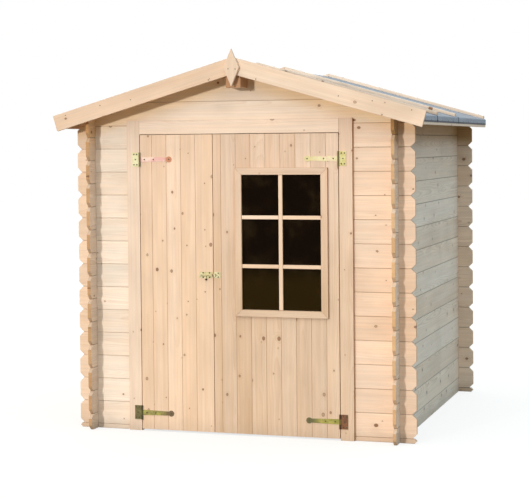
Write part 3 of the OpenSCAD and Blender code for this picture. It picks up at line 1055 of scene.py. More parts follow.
def dress(material: Material, *nodes: str, ease: float = 0.0) -> None:
    """Gives solids a finish, and eases their edges where asked.

    Args:
        material: the finish.
        nodes: names of the solids.
        ease: rounding of the sharp edges, or 0.
    """
    for name in nodes:
        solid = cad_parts[name]
        if not solid.material_slots:
            solid.data.materials.append(material)
        for place in solid.material_slots:
            place.material = material
        if ease > 0:
            rounding = solid.modifiers.new("eased_edges", "BEVEL")
            rounding.width = ease
            rounding.segments = 2
            rounding.limit_method = "ANGLE"
        log.info("%s: dressed", name)


def rectangle(x0: float, x1: float, z0: float, z1: float) -> Outline:
    """Outline of an upright rectangle."""
    return [(x0, z0), (x1, z0), (x1, z1), (x0, z1)]


def mirrored(outline: Sequence[Point]) -> Outline:
    """The outline seen in a mirror, drawn the same way round."""
    return [(-x, z) for x, z in reversed(outline)]


@dataclass
class WallBoards:
    """The four walls, board by board, halved into each other at the corners."""

    house: House
    material: Material
    finishes: dict[str, Material]
    seed: int = 11
    tip_cut: float = 0.012

    def courses(self, first: float, top: float) -> list[Point]:
        """Lower and upper edges of the boards of a wall.

        Args:
            first: height of the first joint.
            top: height of the last edge.

        Returns:
            Pairs of heights.
        """
        levels = [0.0, first]
        while levels[-1] < top - TINY:
            levels.append(levels[-1] + self.house.board_h)
        return list(zip(levels, levels[1:]))

    @staticmethod
    def notch(a: float, b: float, edge: float, depth: float) -> Outline:
        """Points of a notch from a to b in an edge."""
        return [(a, edge), (a, edge + depth), (b, edge + depth), (b, edge)]

    def course(self, span: Point, rise: Point, half: float, notched: tuple[bool, bool]) -> Outline:
        """Outline of one board of a wall.

        Args:
            span: its left and right end, each a cut tip where it reaches past the crossing wall.
            rise: its lower and upper edge.
            half: distance of the crossing wall's outer face from the middle.
            notched: whether the lower and the upper edge are halved at the crossings.

        Returns:
            The outline.
        """
        h = self.house
        (left, right), (low, high) = span, rise
        chamfer = min(h.end_chamfer, (high - low) / 2)
        depth = h.board_h / 4
        slots = [
            (x - h.notch_gap, x + h.wall_t + h.notch_gap)
            for x in (-half, half - h.wall_t) if left < x < right
        ]
        below = [p for a, b in slots for p in self.notch(a, b, low, depth)] if notched[0] else []
        above = [p for a, b in reversed(slots) for p in self.notch(b, a, high, -depth)] if notched[1] else []
        start = [(left, low + chamfer), (left + chamfer, low)] if left < -half else [(left, low)]
        stop = [(right - chamfer, low), (right, low + chamfer)] if right > half else [(right, low)]
        back = [(right, high - chamfer), (right - chamfer, high)] if right > half else [(right, high)]
        home = [(left + chamfer, high), (left, high - chamfer)] if left < -half else [(left, high)]
        points = start + below + stop + back + above + home
        return [p for i, p in enumerate(points) if math.dist(p, points[i - 1]) > TINY]

    def starter(self, left: float, right: float) -> list[Outline]:
        """Outlines of the low strip under the first board, which the side boards cut through.

        Args:
            left: the wall's left end.
            right: its right end.

        Returns:
            One outline for each length of the strip.
        """
        h = self.house
        gap, inner = h.notch_gap, h.half_w - h.wall_t
        spans = ((left, -h.half_w - gap), (-inner + gap, inner - gap), (h.half_w + gap, right))
        found: list[Outline] = []
        for a, b in spans:
            a, b = max(a, left), min(b, right)
            if b > a:
                found.append(self.course((a, b), (0.0, h.starter_h), h.half_w, (False, False)))
        return found

    def gable(self) -> list[Outline]:
        """Outlines of the boards above the doorway, cut to the roof.

        Returns:
            The outlines, from the lowest board up.
        """
        h = self.house
        full = self.courses(h.starter_h, h.door_h)[-1][1]
        c, reach, slot = h.end_chamfer, h.reach, h.purlin_half + h.notch_gap
        cut_x = [(h.ridge - full - h.board_h * k) / h.slope for k in (1, 2)]
        mids = [full + h.board_h, full + 2 * h.board_h]
        a, b = h.half_w - h.wall_t - h.notch_gap, h.half_w + h.notch_gap
        right = self.notch(a, b, full, h.board_h / 4)
        right += [(reach - c, full), (reach, full + c), (reach, h.under(reach)), (cut_x[0], mids[0])]
        first = right + mirrored(right)
        x = cut_x[0] - self.tip_cut
        low = h.ridge - h.purlin_h
        right = [(x, mids[0]), (x, h.under(x)), (cut_x[1], mids[1]), (slot, mids[1]), (slot, low)]
        second = right + mirrored(right)
        x = cut_x[1] - self.tip_cut
        third = [(slot, mids[1]), (x, mids[1]), (x, h.under(x)), (slot, h.under(slot))]
        return [first, second, third, mirrored(third)]

    def _wall(self, name: str, outlines: Iterable[Outline], outer: float, inner: float, grain: Grain,
              plane: Plane = Plane.UPRIGHT) -> None:
        """Builds and dresses the boards of one node.

        Args:
            name: the node.
            outlines: drawings of its boards.
            outer: where the outer face lies.
            inner: where the inner face lies.
            grain: the wood.
            plane: how the drawings stand.
        """
        self.seed += 1
        boards = [Board(outline, outer, inner, grain, plane, self.house.groove) for outline in outlines]
        finish = self.finishes.get(name, self.material)
        lay(name + "_planks", boards, finish, Body.SHED, Slot.WALL, name, seed=self.seed)

    def build(self) -> None:
        """Builds all walls."""
        h = self.house
        rows = self.courses(h.starter_h, h.door_h)[1:]
        front = (FRONT, FRONT + h.wall_t, ALONG_X)
        back = (BACK, BACK - h.wall_t, BEHIND_X)
        for name, left, right, place in (
            ("front_wall_left", -h.reach, h.door_left, front),
            ("front_wall_right", h.door_right, h.reach, front),
            ("back_wall", -h.reach, h.reach, back),
        ):
            outlines = self.starter(left, right)
            outlines += [self.course((left, right), rise, h.half_w, (True, True)) for rise in rows]
            self._wall(name, outlines, *place)
        over = rectangle(h.door_left, h.door_right, h.door_h, rows[-1][1])
        self._wall("front_wall_over_door", [over], *front)
        self._wall("front_gable", self.gable(), *front)
        self._wall("back_gable", self.gable(), *back)
        middle, half = (FRONT + BACK) / 2, h.depth / 2
        reach = half + h.end_l
        rows = self.courses(h.starter_h + h.board_h / 2, h.side_h)
        outlines = [self.course((-reach, reach), rise, half, (rise[0] > 0, True)) for rise in rows]
        moved = [[(y + middle, z) for y, z in outline] for outline in outlines]
        for side, word in SIDES:
            grain = Grain(Vector((0, side, 0)), Vector((side, 0, 0)))
            faces = (side * h.half_w, side * (h.half_w - h.wall_t))
            self._wall(word + "_wall", moved, *faces, grain, Plane.SIDEWAYS)


@dataclass
class RoofTimber:
    """Purlin, roof boards, eave strips and the battens on the felt."""

    house: House
    beam: Material
    boards: Material
    battens: Material
    strips: Material
    beam_ease: float = 0.003
    deck_n: float = 0.0001
    deck_t: float = 0.016
    deck_w: float = 0.0951
    deck_least: float = 0.02
    deck_joint: float = 0.003
    strip_h: float = 0.034
    strip_t: float = 0.02
    strip_ease: float = 0.0015
    batten_n: float = 0.0193
    batten_t: float = 0.018
    batten_w: float = 0.036
    batten_x: float = 1.075
    batten_ease: float = 0.0018

    def layer(self, side: int, n0: float, n1: float, x1: float) -> Outline:
        """Outline of a layer of one slope, from n0 to n1 over the line of the wall tops and as far as x1."""
        corners = [self.house.on_slope(x, n) for x, n in ((0, n0), (x1, n0), (x1, n1), (0, n1))]
        return [(side * x, z) for x, z in corners]

    def fall(self, side: int) -> Grain:
        """Grain down one slope, with the upper face outwards."""
        c, s = math.cos(self.house.pitch), math.sin(self.house.pitch)
        return Grain(Vector((side * c, 0, -s)), Vector((side * s, 0, c)))

    def build(self) -> None:
        """Builds the timber of both slopes."""
        h = self.house
        half, low = h.purlin_half, h.ridge - h.purlin_h
        outline = [(-half, low), (half, low), (half, h.under(half)), (0.0, h.ridge), (-half, h.under(half))]
        lengthwise = Grain(Vector((0, 1, 0)), Vector((0, 0, -1)))
        beam = Board(outline, h.roof_front, h.deck_back, lengthwise, ease=self.beam_ease)
        lay("ridge_purlin_beam", [beam], self.beam, Body.SHED, Slot.ROOF_TIMBER, "ridge_purlin", seed=41)
        for side, word in SIDES:
            self._slope(side, word)

    def _slope(self, side: int, word: str) -> None:
        """Builds the boards, the eave strip and the battens of one slope.

        Args:
            side: -1 for the left slope, 1 for the right.
            word: the slope's name.
        """
        h, fall = self.house, self.fall(side)
        outline = self.layer(side, self.deck_n, self.deck_n + self.deck_t, h.eave_x)
        deck: list[Board] = []
        start = h.roof_front
        while start < h.deck_back - self.deck_least:
            end = min(start + self.deck_w, h.deck_back)
            deck.append(Board(outline, start, end, fall, joint=self.deck_joint))
            start = end
        lay(word + "_roof_planks", deck, self.boards, Body.SHED, Slot.ROOF_TIMBER, word + "_roof_boards",
            seed=43 + side)
        inner, foot = h.eave_x - self.strip_t, h.under(h.eave_x) - self.strip_h
        corners = ((inner, foot), (h.eave_x, foot), (h.eave_x, h.under(h.eave_x)), (inner, h.under(inner)))
        strip = Board([(side * x, z) for x, z in corners], h.roof_front, h.deck_back,
                      Grain(Vector((0, 1, 0)), Vector((side, 0, 0))), ease=self.strip_ease)
        lay(word + "_eave_board", [strip], self.strips, Body.SHED, Slot.ROOF_TIMBER, word + "_eave_strip",
            seed=47 + side)
        outline = self.layer(side, self.batten_n, self.batten_n + self.batten_t, self.batten_x)
        half = self.batten_w / 2
        laths = [Board(outline, y - half, y + half, fall, ease=self.batten_ease) for y in BATTEN_Y]
        lay(word + "_batten_laths", laths, self.battens, Body.SHED, Slot.BATTENS, word + "_roof_battens",
            seed=53 + side)


@dataclass
class RoofFelt:
    """Felt in strips that lap over each other and fold down at the eave and the back."""

    house: House
    material: Material
    under_n: float = 0.0001
    seat_n: float = 0.0162
    sheet_t: float = 0.0015
    fold_r: float = 0.007
    drop: float = 0.019
    edge: float = 0.003
    lap: float = 0.05
    lap_fall: float = 1.6
    seams: tuple[float, ...] = (FRONT + 0.29, FRONT + 0.95)
    step: float = 0.03
    slope_steps: int = 16
    fold_steps: int = 6
    wave: float = 0.0008
    wave_end: int = 18
    long_wave: Point = (9.1, 0.8)
    short_wave: Point = (23.0, 0.3)
    sway: float = 0.0025
    sway_turn: float = 0.7

    def profile(self, side: int, lift: float) -> list[Point]:
        """Line of a face of the felt from the ridge to the lower edge of the eave.

        Args:
            side: -1 for the left slope, 1 for the right.
            lift: height of the face above the roof boards, square to the slope.

        Returns:
            Points of X and Z.
        """
        h = self.house
        outer = h.eave_x + lift
        turn = self.fold_r + lift
        low = h.under(h.eave_x) - self.drop
        bend_x = outer - turn
        n = self.seat_n + lift
        points = [h.on_slope(bend_x * i / self.slope_steps, n) for i in range(self.slope_steps + 1)]
        centre = (bend_x, points[-1][1] - turn)
        for i in range(1, self.fold_steps + 1):
            angle = math.pi / 2 - (math.pi / 2) * i / self.fold_steps
            points.append((centre[0] + turn * math.cos(angle), centre[1] + turn * math.sin(angle)))
        last = points[-1][1]
        points += [(outer, last + (low - last) * t) for t in (0.5, 1.0)]
        return [(side * x, z) for x, z in points]

    def strip(self, shape: Shape, side: int, y0: float, y1: float, base: float, draw: random.Random) -> None:
        """Adds one strip of felt.

        Args:
            shape: the mesh to fill.
            side: the slope.
            y0: its front edge.
            y1: its back edge.
            base: height of its lower face above the seat at the front edge.
            draw: source of the small waves.
        """
        rows = max(2, int((y1 - y0) / self.step))
        phase = [draw.uniform(0, 6.28) for _ in range(4)]
        edge_shade = shape.verts.layers.float.get("lap_edge") or shape.verts.layers.float.new("lap_edge")
        grids: list[Grid] = []
        for top in (0, 1):
            grid = []
            for j in range(rows + 1):
                y = y0 + (y1 - y0) * j / rows
                rise = base * max(0.0, 1.0 - (y - y0) / (self.lap * self.lap_fall))
                lapped = j == 0 and base > 0
                inside = top and 0 < j < rows
                profile = self.profile(side, rise + (self.sheet_t if top else 0.0))
                line = []
                for i, (x, z) in enumerate(profile):
                    swell = 0.0
                    if inside and 0 < i < self.wave_end:
                        swell = self.wave * (1 + self.ripple(y, i, phase)) / 2
                    sway = self.sway * math.sin(self.sway_turn * i + phase[2]) if lapped else 0.0
                    corner = shape.verts.new((x, y + sway, z + swell))
                    # Painted shade: 2 marks the drip edge, for its painted shadow; 1 marks a lapped edge,
                    # dark bitumen that also paints the shade under the lifted edge.
                    corner[edge_shade] = 2.0 if i == len(profile) - 1 else float(lapped)
                    line.append(corner)
                grid.append(line)
            grids.append(grid)
        self._skin(shape, *grids)

    def ripple(self, y: float, i: int, phase: Sequence[float]) -> float:
        """Height of the felt's waves, from -1 to 1, at y along the roof and at point i of the profile."""
        long = math.sin(self.long_wave[0] * y + self.long_wave[1] * i + phase[0])
        return long * math.sin(self.short_wave[0] * y + phase[1] + self.short_wave[1] * i)

    @staticmethod
    def _skin(shape: Shape, lower: Grid, upper: Grid) -> None:
        """Covers a strip between its lower and upper points.

        Args:
            shape: the mesh to fill.
            lower: rows of points of the lower face.
            upper: rows of points of the upper face.
        """
        rows, columns = len(upper) - 1, len(upper[0])
        for j in range(rows):
            for i in range(columns - 1):
                shape.faces.new((upper[j][i], upper[j][i + 1], upper[j + 1][i + 1], upper[j + 1][i]))
                shape.faces.new((lower[j][i], lower[j + 1][i], lower[j + 1][i + 1], lower[j][i + 1]))
            for i in (0, columns - 1):
                shape.faces.new((upper[j][i], upper[j + 1][i], lower[j + 1][i], lower[j][i]))
        for j in (0, rows):
            for i in range(columns - 1):
                shape.faces.new((upper[j][i], upper[j][i + 1], lower[j][i + 1], lower[j][i]))

    def build(self) -> None:
        """Builds the felt of both slopes."""
        h = self.house
        starts = (h.roof_front, *self.seams)
        ends = (*(y + self.lap for y in self.seams), h.deck_back + self.edge)
        for side, word in SIDES:
            draw = random.Random(61 + side)
            shape = bmesh.new()
            for k, (y0, y1) in enumerate(zip(starts, ends)):
                self.strip(shape, side, y0, y1, self.sheet_t if k else 0.0, draw)
            self._back_fold(shape, side)
            bmesh.ops.recalc_face_normals(shape, faces=shape.faces)
            made = from_shape(word + "_felt_strips", shape)
            settle(made, self.material, Body.SHED, Slot.FELT, word + "_roof_felt")

    def _back_fold(self, shape: Shape, side: int) -> None:
        """Adds the felt that hangs over the back edge of the roof boards.

        Args:
            shape: the mesh to fill.
            side: the slope.
        """
        h = self.house
        foot, top = self.under_n, self.seat_n
        corners = [h.on_slope(x, n) for x, n in ((0, foot), (h.eave_x, foot), (h.eave_x, top), (0, top))]
        near = [shape.verts.new((side * x, h.deck_back + HAIR, z)) for x, z in corners]
        far = [shape.verts.new((side * x, h.deck_back + self.edge, z)) for x, z in corners]
        shape.faces.new(near)
        shape.faces.new(far)
        for i in range(4):
            j = (i + 1) % 4
            shape.faces.new((near[i], near[j], far[j], far[i]))


@dataclass
class GableTrim:
    """Bargeboards and the diamond at the ridge."""

    house: House
    material: Material
    top_n: float = 0.0453
    low_n: float = -0.0477
    foot_x: float = 1.108
    diamond_half: float = 0.046
    diamond_tip: float = 2.2054
    diamond_mid: float = 2.0984
    diamond_low: float = 1.9914
    ease: float = 0.0015

    def build(self) -> None:
        """Builds the trim."""
        h = self.house
        c, s = math.cos(h.pitch), math.sin(h.pitch)
        foot = h.on_slope(self.foot_x, self.top_n)
        width = self.top_n - self.low_n
        heel = (foot[0] - width * s, foot[1] - width * c)
        right = [h.on_slope(HAIR, self.low_n), heel, foot, h.on_slope(HAIR, self.top_n)]
        for side, word in SIDES:
            outline = right if side > 0 else mirrored(right)
            grain = Grain(Vector((c, 0, -side * s)), OUTWARD)
            board = Board(outline, h.roof_front - BOARD_T, h.roof_front, grain, ease=self.ease)
            lay(word + "_barge_plank", [board], self.material, Body.SHED, Slot.TRIM, word + "_bargeboard",
                seed=71 + side)
        half, mid = self.diamond_half, self.diamond_mid
        outline = [(0.0, self.diamond_low), (half, mid), (0.0, self.diamond_tip), (-half, mid)]
        front = h.roof_front - 2 * BOARD_T
        diamond = Board(outline, front, front + BOARD_T, ALONG_Z, ease=self.ease)
        lay("ridge_diamond", [diamond], self.material, Body.SHED, Slot.TRIM, "ridge_finial", seed=75)


@dataclass
class Doorway:
    """Casing boards beside the doorway and the head board over it."""

    house: House
    pale: Material
    # The right casing takes the wood with painted shade.
    painted_shade_wood: Material
    casing_w: float = 0.078
    head_h: float = 0.08
    head_gap: float = 0.0003
    ease: float = 0.001

    def build(self) -> None:
        """Builds the three boards."""
        h, w, gap = self.house, self.casing_w, self.head_gap
        top = h.door_h + self.head_h
        left = rectangle(h.door_left - w, h.door_left, 0.0, top)
        right = rectangle(h.door_right, h.door_right + w, 0.0, top)
        head = rectangle(h.door_left + gap, h.door_right - gap, h.door_h, top)
        for k, (name, outline, grain, material) in enumerate((
            ("left_door_casing", left, ALONG_Z, self.pale),
            ("right_door_casing", right, ALONG_Z, self.painted_shade_wood),
            ("door_head", head, ALONG_X, self.pale),
        )):
            board = Board(outline, LEAF_FACE, FRONT, grain, ease=self.ease)
            lay(name + "_plank", [board], material, Body.SHED, Slot.TRIM, name, seed=81 + k)


@dataclass
class DoorLeaves:
    """Two leaves of upright boards on ledges."""

    narrow: Material
    wide: Material
    ledges: Material
    back: float = FRONT + 0.002
    low: float = 0.01
    top: float = 1.7268
    first_w: float = 0.072
    board_w: float = 0.089
    least_w: float = 0.03
    groove: float = 0.0013
    ease: float = 0.0008
    left: Point = (-0.61, -0.1675)
    right: Point = (-0.1605, 0.58)
    opening: Box = (0.003, 0.491, 0.715, 1.504)
    ledge_z: tuple[float, ...] = (HINGE_Z["low"], 0.6, HINGE_Z["top"])
    ledge_w: float = 0.09
    ledge_t: float = 0.02
    ledge_back: float = 0.04
    ledge_ease: float = 0.003
    hinge_lip: float = 0.002
    meeting_lip: float = 0.0024

    def joints(self, width: float) -> list[float]:
        """Distances of the board edges from the hinged edge of a leaf.

        Args:
            width: the leaf's width.

        Returns:
            The distances, from 0 to the width.
        """
        edges = [0.0, self.first_w]
        while edges[-1] + self.board_w < width - self.least_w:
            edges.append(edges[-1] + self.board_w)
        return edges + [width]

    def pieces(self, x0: float, x1: float, cut: bool) -> list[Outline]:
        """Outlines of one board of a leaf, less the window's opening.

        Args:
            x0: its left edge.
            x1: its right edge.
            cut: whether the leaf has the opening.

        Returns:
            One or two outlines.
        """
        a, b, z0, z1 = self.opening
        low, top = self.low, self.top
        if not cut or x1 <= a or x0 >= b:
            return [rectangle(x0, x1, low, top)]
        if x0 >= a and x1 <= b:
            return [rectangle(x0, x1, low, z0), rectangle(x0, x1, z1, top)]
        if x0 < a:
            return [[(x0, low), (x1, low), (x1, z0), (a, z0), (a, z1), (x1, z1), (x1, top), (x0, top)]]
        return [[(x0, low), (x1, low), (x1, top), (x0, top), (x0, z1), (b, z1), (b, z0), (x0, z0)]]

    def build(self) -> None:
        """Builds both leaves and their ledges."""
        self._leaf("left_leaf", self.left, 1, Body.LEFT_LEAF, self.narrow)
        self._leaf("right_leaf", self.right, -1, Body.RIGHT_LEAF, self.wide)

    def _leaf(self, name: str, span: Point, side: int, body: Body, material: Material) -> None:
        """Builds one leaf and its ledges.

        Args:
            name: the leaf's node.
            span: its left and right edge.
            side: 1 if it hangs on its left edge, -1 if on its right.
            body: the body that it moves with.
            material: its finish.
        """
        x0, x1 = span
        hinge = x0 if side > 0 else x1
        edges = sorted(hinge + side * d for d in self.joints(x1 - x0))
        lips = (self.hinge_lip, self.meeting_lip)[::side]
        edges = [edges[0] - lips[0], *edges[1:-1], edges[-1] + lips[1]]
        boards = [
            Board(outline, LEAF_FACE, self.back, ALONG_Z, joint=self.groove, ease=self.ease)
            for a, b in zip(edges, edges[1:]) for outline in self.pieces(a, b, side < 0)
        ]
        lay(name + "_planks", boards, material, body, Slot.DOOR, name, seed=91 + side)
        inset, half = self.ledge_back, self.ledge_w / 2
        rails = [
            Board(rectangle(x0 + inset, x1 - inset, z - half, z + half), self.back + self.ledge_t, self.back,
                  BEHIND_X, ease=self.ledge_ease)
            for z in self.ledge_z
        ]
        lay(name + "_ledge_boards", rails, self.ledges, body, Slot.DOOR, name + "_ledges", seed=95 + side)


@dataclass
class Window:
    """Mitred casing, bars, bead and panes of the window in the wide leaf."""

    material: Material
    pale: Material
    glass: Material
    front: float = FRONT - 0.032
    box: Box = (-0.027, 0.521, 0.685, 1.534)
    frame_w: float = 0.04
    frame_ease: float = 0.0012
    rebate: float = 0.01
    bead: Point = (FRONT - 0.014, FRONT + 0.002)
    bead_ease: float = 0.001
    bar_x: Point = (0.2325, 0.2565)
    bar_z: tuple[Point, ...] = ((0.9615, 0.984), (1.2405, 1.263))
    bar_front: float = FRONT - 0.029
    bar_ease: float = 0.003
    mitre_gap: float = 0.0003

    def ring(self, outer: float, inner: float) -> list[tuple[Outline, Grain]]:
        """Four mitred boards between two rectangles inside the casing's edge.

        Args:
            outer: inset of the outer rectangle.
            inner: inset of the inner one.

        Returns:
            Outlines with their grain.
        """
        x0, x1, z0, z1 = self.box
        a, b, g = outer, inner, self.mitre_gap
        low = [(x0 + a + g, z0 + a), (x1 - a - g, z0 + a), (x1 - b - g, z0 + b), (x0 + b + g, z0 + b)]
        high = [(x0 + b + g, z1 - b), (x1 - b - g, z1 - b), (x1 - a - g, z1 - a), (x0 + a + g, z1 - a)]
        left = [(x0 + a, z0 + a + g), (x0 + b, z0 + b + g), (x0 + b, z1 - b - g), (x0 + a, z1 - a - g)]
        right = [(x1 - b, z0 + b + g), (x1 - a, z0 + a + g), (x1 - a, z1 - a - g), (x1 - b, z1 - b - g)]
        return [(low, ALONG_X), (high, ALONG_X), (left, ALONG_Z), (right, ALONG_Z)]

    def build(self) -> None:
        """Builds the window."""
        x0, x1, z0, z1 = self.box
        w, place = self.frame_w, (Body.RIGHT_LEAF, Slot.DOOR)
        ring = self.ring(0.0, w)
        casing = [Board(line, self.front, LEAF_FACE, grain, ease=self.frame_ease) for line, grain in ring]
        lay("window_casing_boards", casing, self.material, *place, "window_casing", seed=101)
        ring = self.ring(w - self.rebate, w)
        bead = [Board(line, *self.bead, grain, ease=self.bead_ease) for line, grain in ring]
        lay("window_bead_strips", bead, self.material, *place, "window_bead", seed=103)
        lines = [(rectangle(*self.bar_x, z0 + w, z1 - w), ALONG_Z)]
        spans = ((x0 + w, self.bar_x[0]), (self.bar_x[1], x1 - w))
        lines += [(rectangle(*span, *rise), ALONG_X) for rise in self.bar_z for span in spans]
        seat = LEAF_FACE - HAIR
        bars = [Board(line, self.bar_front, seat, grain, ease=self.bar_ease) for line, grain in lines]
        lay("window_bars", bars, self.pale, *place, seed=105)
        dress(self.glass, "window_glass")


@dataclass
class Hardware:
    """Hinges, bolt, screws and nails."""

    house: House
    zinc: dict[str, Material]
    screw: Material
    nail: Material
    hinge_ease: float = 0.0004
    bolt_ease: float = 0.0003
    plate_t: float = 0.0025
    bolt_t: float = 0.002
    screw_r: float = 0.0042
    nail_r: float = 0.0032
    head_steps: int = 16
    head_rings: tuple[Point, ...] = ((1.0, -0.1), (1.0, 0.12), (0.86, 0.3), (0.62, 0.4), (0.3, 0.44))
    nail_top: float = 0.45
    cross_floor: float = 0.16
    cross_depth: float = 0.28
    cross_reach: float = 0.7
    plate_screws: tuple[Point, ...] = (
        (-0.036, -0.03), (-0.036, 0.03), (-0.018, -0.03), (-0.018, 0.03), (-0.027, 0.0),
    )
    strap_screws: tuple[float, ...] = (0.029, 0.085, 0.181)
    guide_screws: tuple[Point, ...] = (
        (-0.226, -0.0125), (-0.226, 0.0125), (-0.187, -0.0125), (-0.187, 0.0125),
    )
    keeper_screws: tuple[Point, ...] = ((-0.134, -0.011), (-0.134, 0.011))
    barge_nails: tuple[Point, ...] = ((0.141, -0.038), (0.617, -0.006), (0.808, 0.018), (1.027, 0.027))
    batten_nails: tuple[float, ...] = (0.1, 0.36, 0.62, 0.88, 1.04)
    batten_top: float = 0.0373
    diamond_nails: tuple[Point, ...] = ((-0.017, 2.092), (0.025, 2.09))
    eave_nails: int = 12
    eave_start: float = FRONT - 0.06
    eave_step: float = 0.17
    eave_out: float = 0.0018
    eave_drop: float = 0.006

    def head(self, shape: Shape, at: Vector, out: Vector, crossed: bool, turn: float) -> None:
        """Adds a screw or nail head.

        Args:
            shape: the mesh to fill.
            at: the middle of its seat.
            out: the direction that it faces.
            crossed: a screw with a cross recess if true, a nail if not.
            turn: how far it is turned about its axis.
        """
        radius = self.screw_r if crossed else self.nail_r
        slanted = Vector((0.31, 0.2, 0.93))
        side = out.cross(slanted).normalized()
        other = out.cross(side)
        steps = self.head_steps
        rows = []
        for share, rise in self.head_rings:
            row = []
            for k in range(steps):
                angle = turn + 2 * math.pi * k / steps
                sunk = self.cross_depth if crossed and k % 4 == 0 and share < self.cross_reach else 0.0
                flat = side * math.cos(angle) + other * math.sin(angle)
                row.append(shape.verts.new(at + flat * radius * share + out * radius * (rise - sunk)))
            rows.append(row)
        for low, high in zip(rows, rows[1:]):
            for k in range(steps):
                j = (k + 1) % steps
                shape.faces.new((low[k], low[j], high[j], high[k]))
        middle = shape.verts.new(at + out * radius * (self.cross_floor if crossed else self.nail_top))
        for k in range(steps):
            shape.faces.new((rows[-1][k], rows[-1][(k + 1) % steps], middle))
        shape.faces.new(list(reversed(rows[0])))

    def heads(self, name: str, places: Iterable[Seat], body: Body, crossed: bool, seed: int) -> None:
        """Joins many heads into one piece.

        Args:
            name: the piece's name.
            places: seats and directions.
            body: the body that it moves with.
            crossed: screws if true, nails if not.
            seed: start of the draws.
        """
        draw = random.Random(seed)
        shape = bmesh.new()
        for at, out in places:
            self.head(shape, at, out, crossed, draw.uniform(0, 1.5))
        settle(from_shape(name, shape), self.screw if crossed else self.nail, body, Slot.ZINC)

    def build(self) -> None:
        """Dresses the solids and adds the fasteners."""
        for side in PIN_X:
            for level in HINGE_Z:
                for part in ("plate", "strap"):
                    finish = self.zinc[f"{side}_{level}_{part}"]
                    dress(finish, f"{side}_{level}_hinge_{part}", ease=self.hinge_ease)
        dress(self.zinc["bolt"], "bolt_guide", "bolt_rod", "bolt_keeper", ease=self.bolt_ease)
        self._hinge_screws()
        self._bolt_screws()
        self._nails()

    def _hinge_screws(self) -> None:
        """Adds the screws of the hinge plates and straps."""
        face = LEAF_FACE - self.plate_t
        plates: list[Seat] = []
        for side, sign, body in (("left", 1, Body.LEFT_LEAF), ("right", -1, Body.RIGHT_LEAF)):
            pin = PIN_X[side]
            straps: list[Seat] = []
            for z in HINGE_Z.values():
                plates += [(Vector((pin + sign * dx, face, z + dz)), OUTWARD) for dx, dz in self.plate_screws]
                straps += [(Vector((pin + sign * dx, face, z)), OUTWARD) for dx in self.strap_screws]
            self.heads(side + "_strap_screws", straps, body, True, seed=5 + sign)
        self.heads("hinge_plate_screws", plates, Body.SHED, True, seed=9)

    def _bolt_screws(self) -> None:
        """Adds the screws of the bolt's plates."""
        face = LEAF_FACE - self.bolt_t
        for name, spots, body, seed in (
            ("bolt_guide_screws", self.guide_screws, Body.LEFT_LEAF, 15),
            ("bolt_keeper_screws", self.keeper_screws, Body.RIGHT_LEAF, 16),
        ):
            seats = [(Vector((x, face, BOLT_Z + dz)), OUTWARD) for x, dz in spots]
            self.heads(name, seats, body, True, seed)

    def _nails(self) -> None:
        """Adds the nails of the trim, the battens and the eave strips."""
        h = self.house
        c, s = math.cos(h.pitch), math.sin(h.pitch)
        places: list[Seat] = []
        for side, _ in SIDES:
            up, aside = Vector((side * s, 0, c)), Vector((side, 0, 0))
            for x, n in self.barge_nails:
                px, pz = h.on_slope(x, n)
                places.append((Vector((side * px, h.roof_front - BOARD_T, pz)), OUTWARD))
            for y in BATTEN_Y:
                for x in self.batten_nails:
                    px, pz = h.on_slope(x, self.batten_top)
                    places.append((Vector((side * px, y, pz)), up))
            x, z = side * (h.eave_x + self.eave_out), h.under(h.eave_x) - self.eave_drop
            for k in range(self.eave_nails):
                places.append((Vector((x, self.eave_start + k * self.eave_step, z)), aside))
        for x, z in self.diamond_nails:
            places.append((Vector((x, h.roof_front - 2 * BOARD_T, z)), OUTWARD))
        self.heads("trim_nails", places, Body.SHED, False, seed=21)


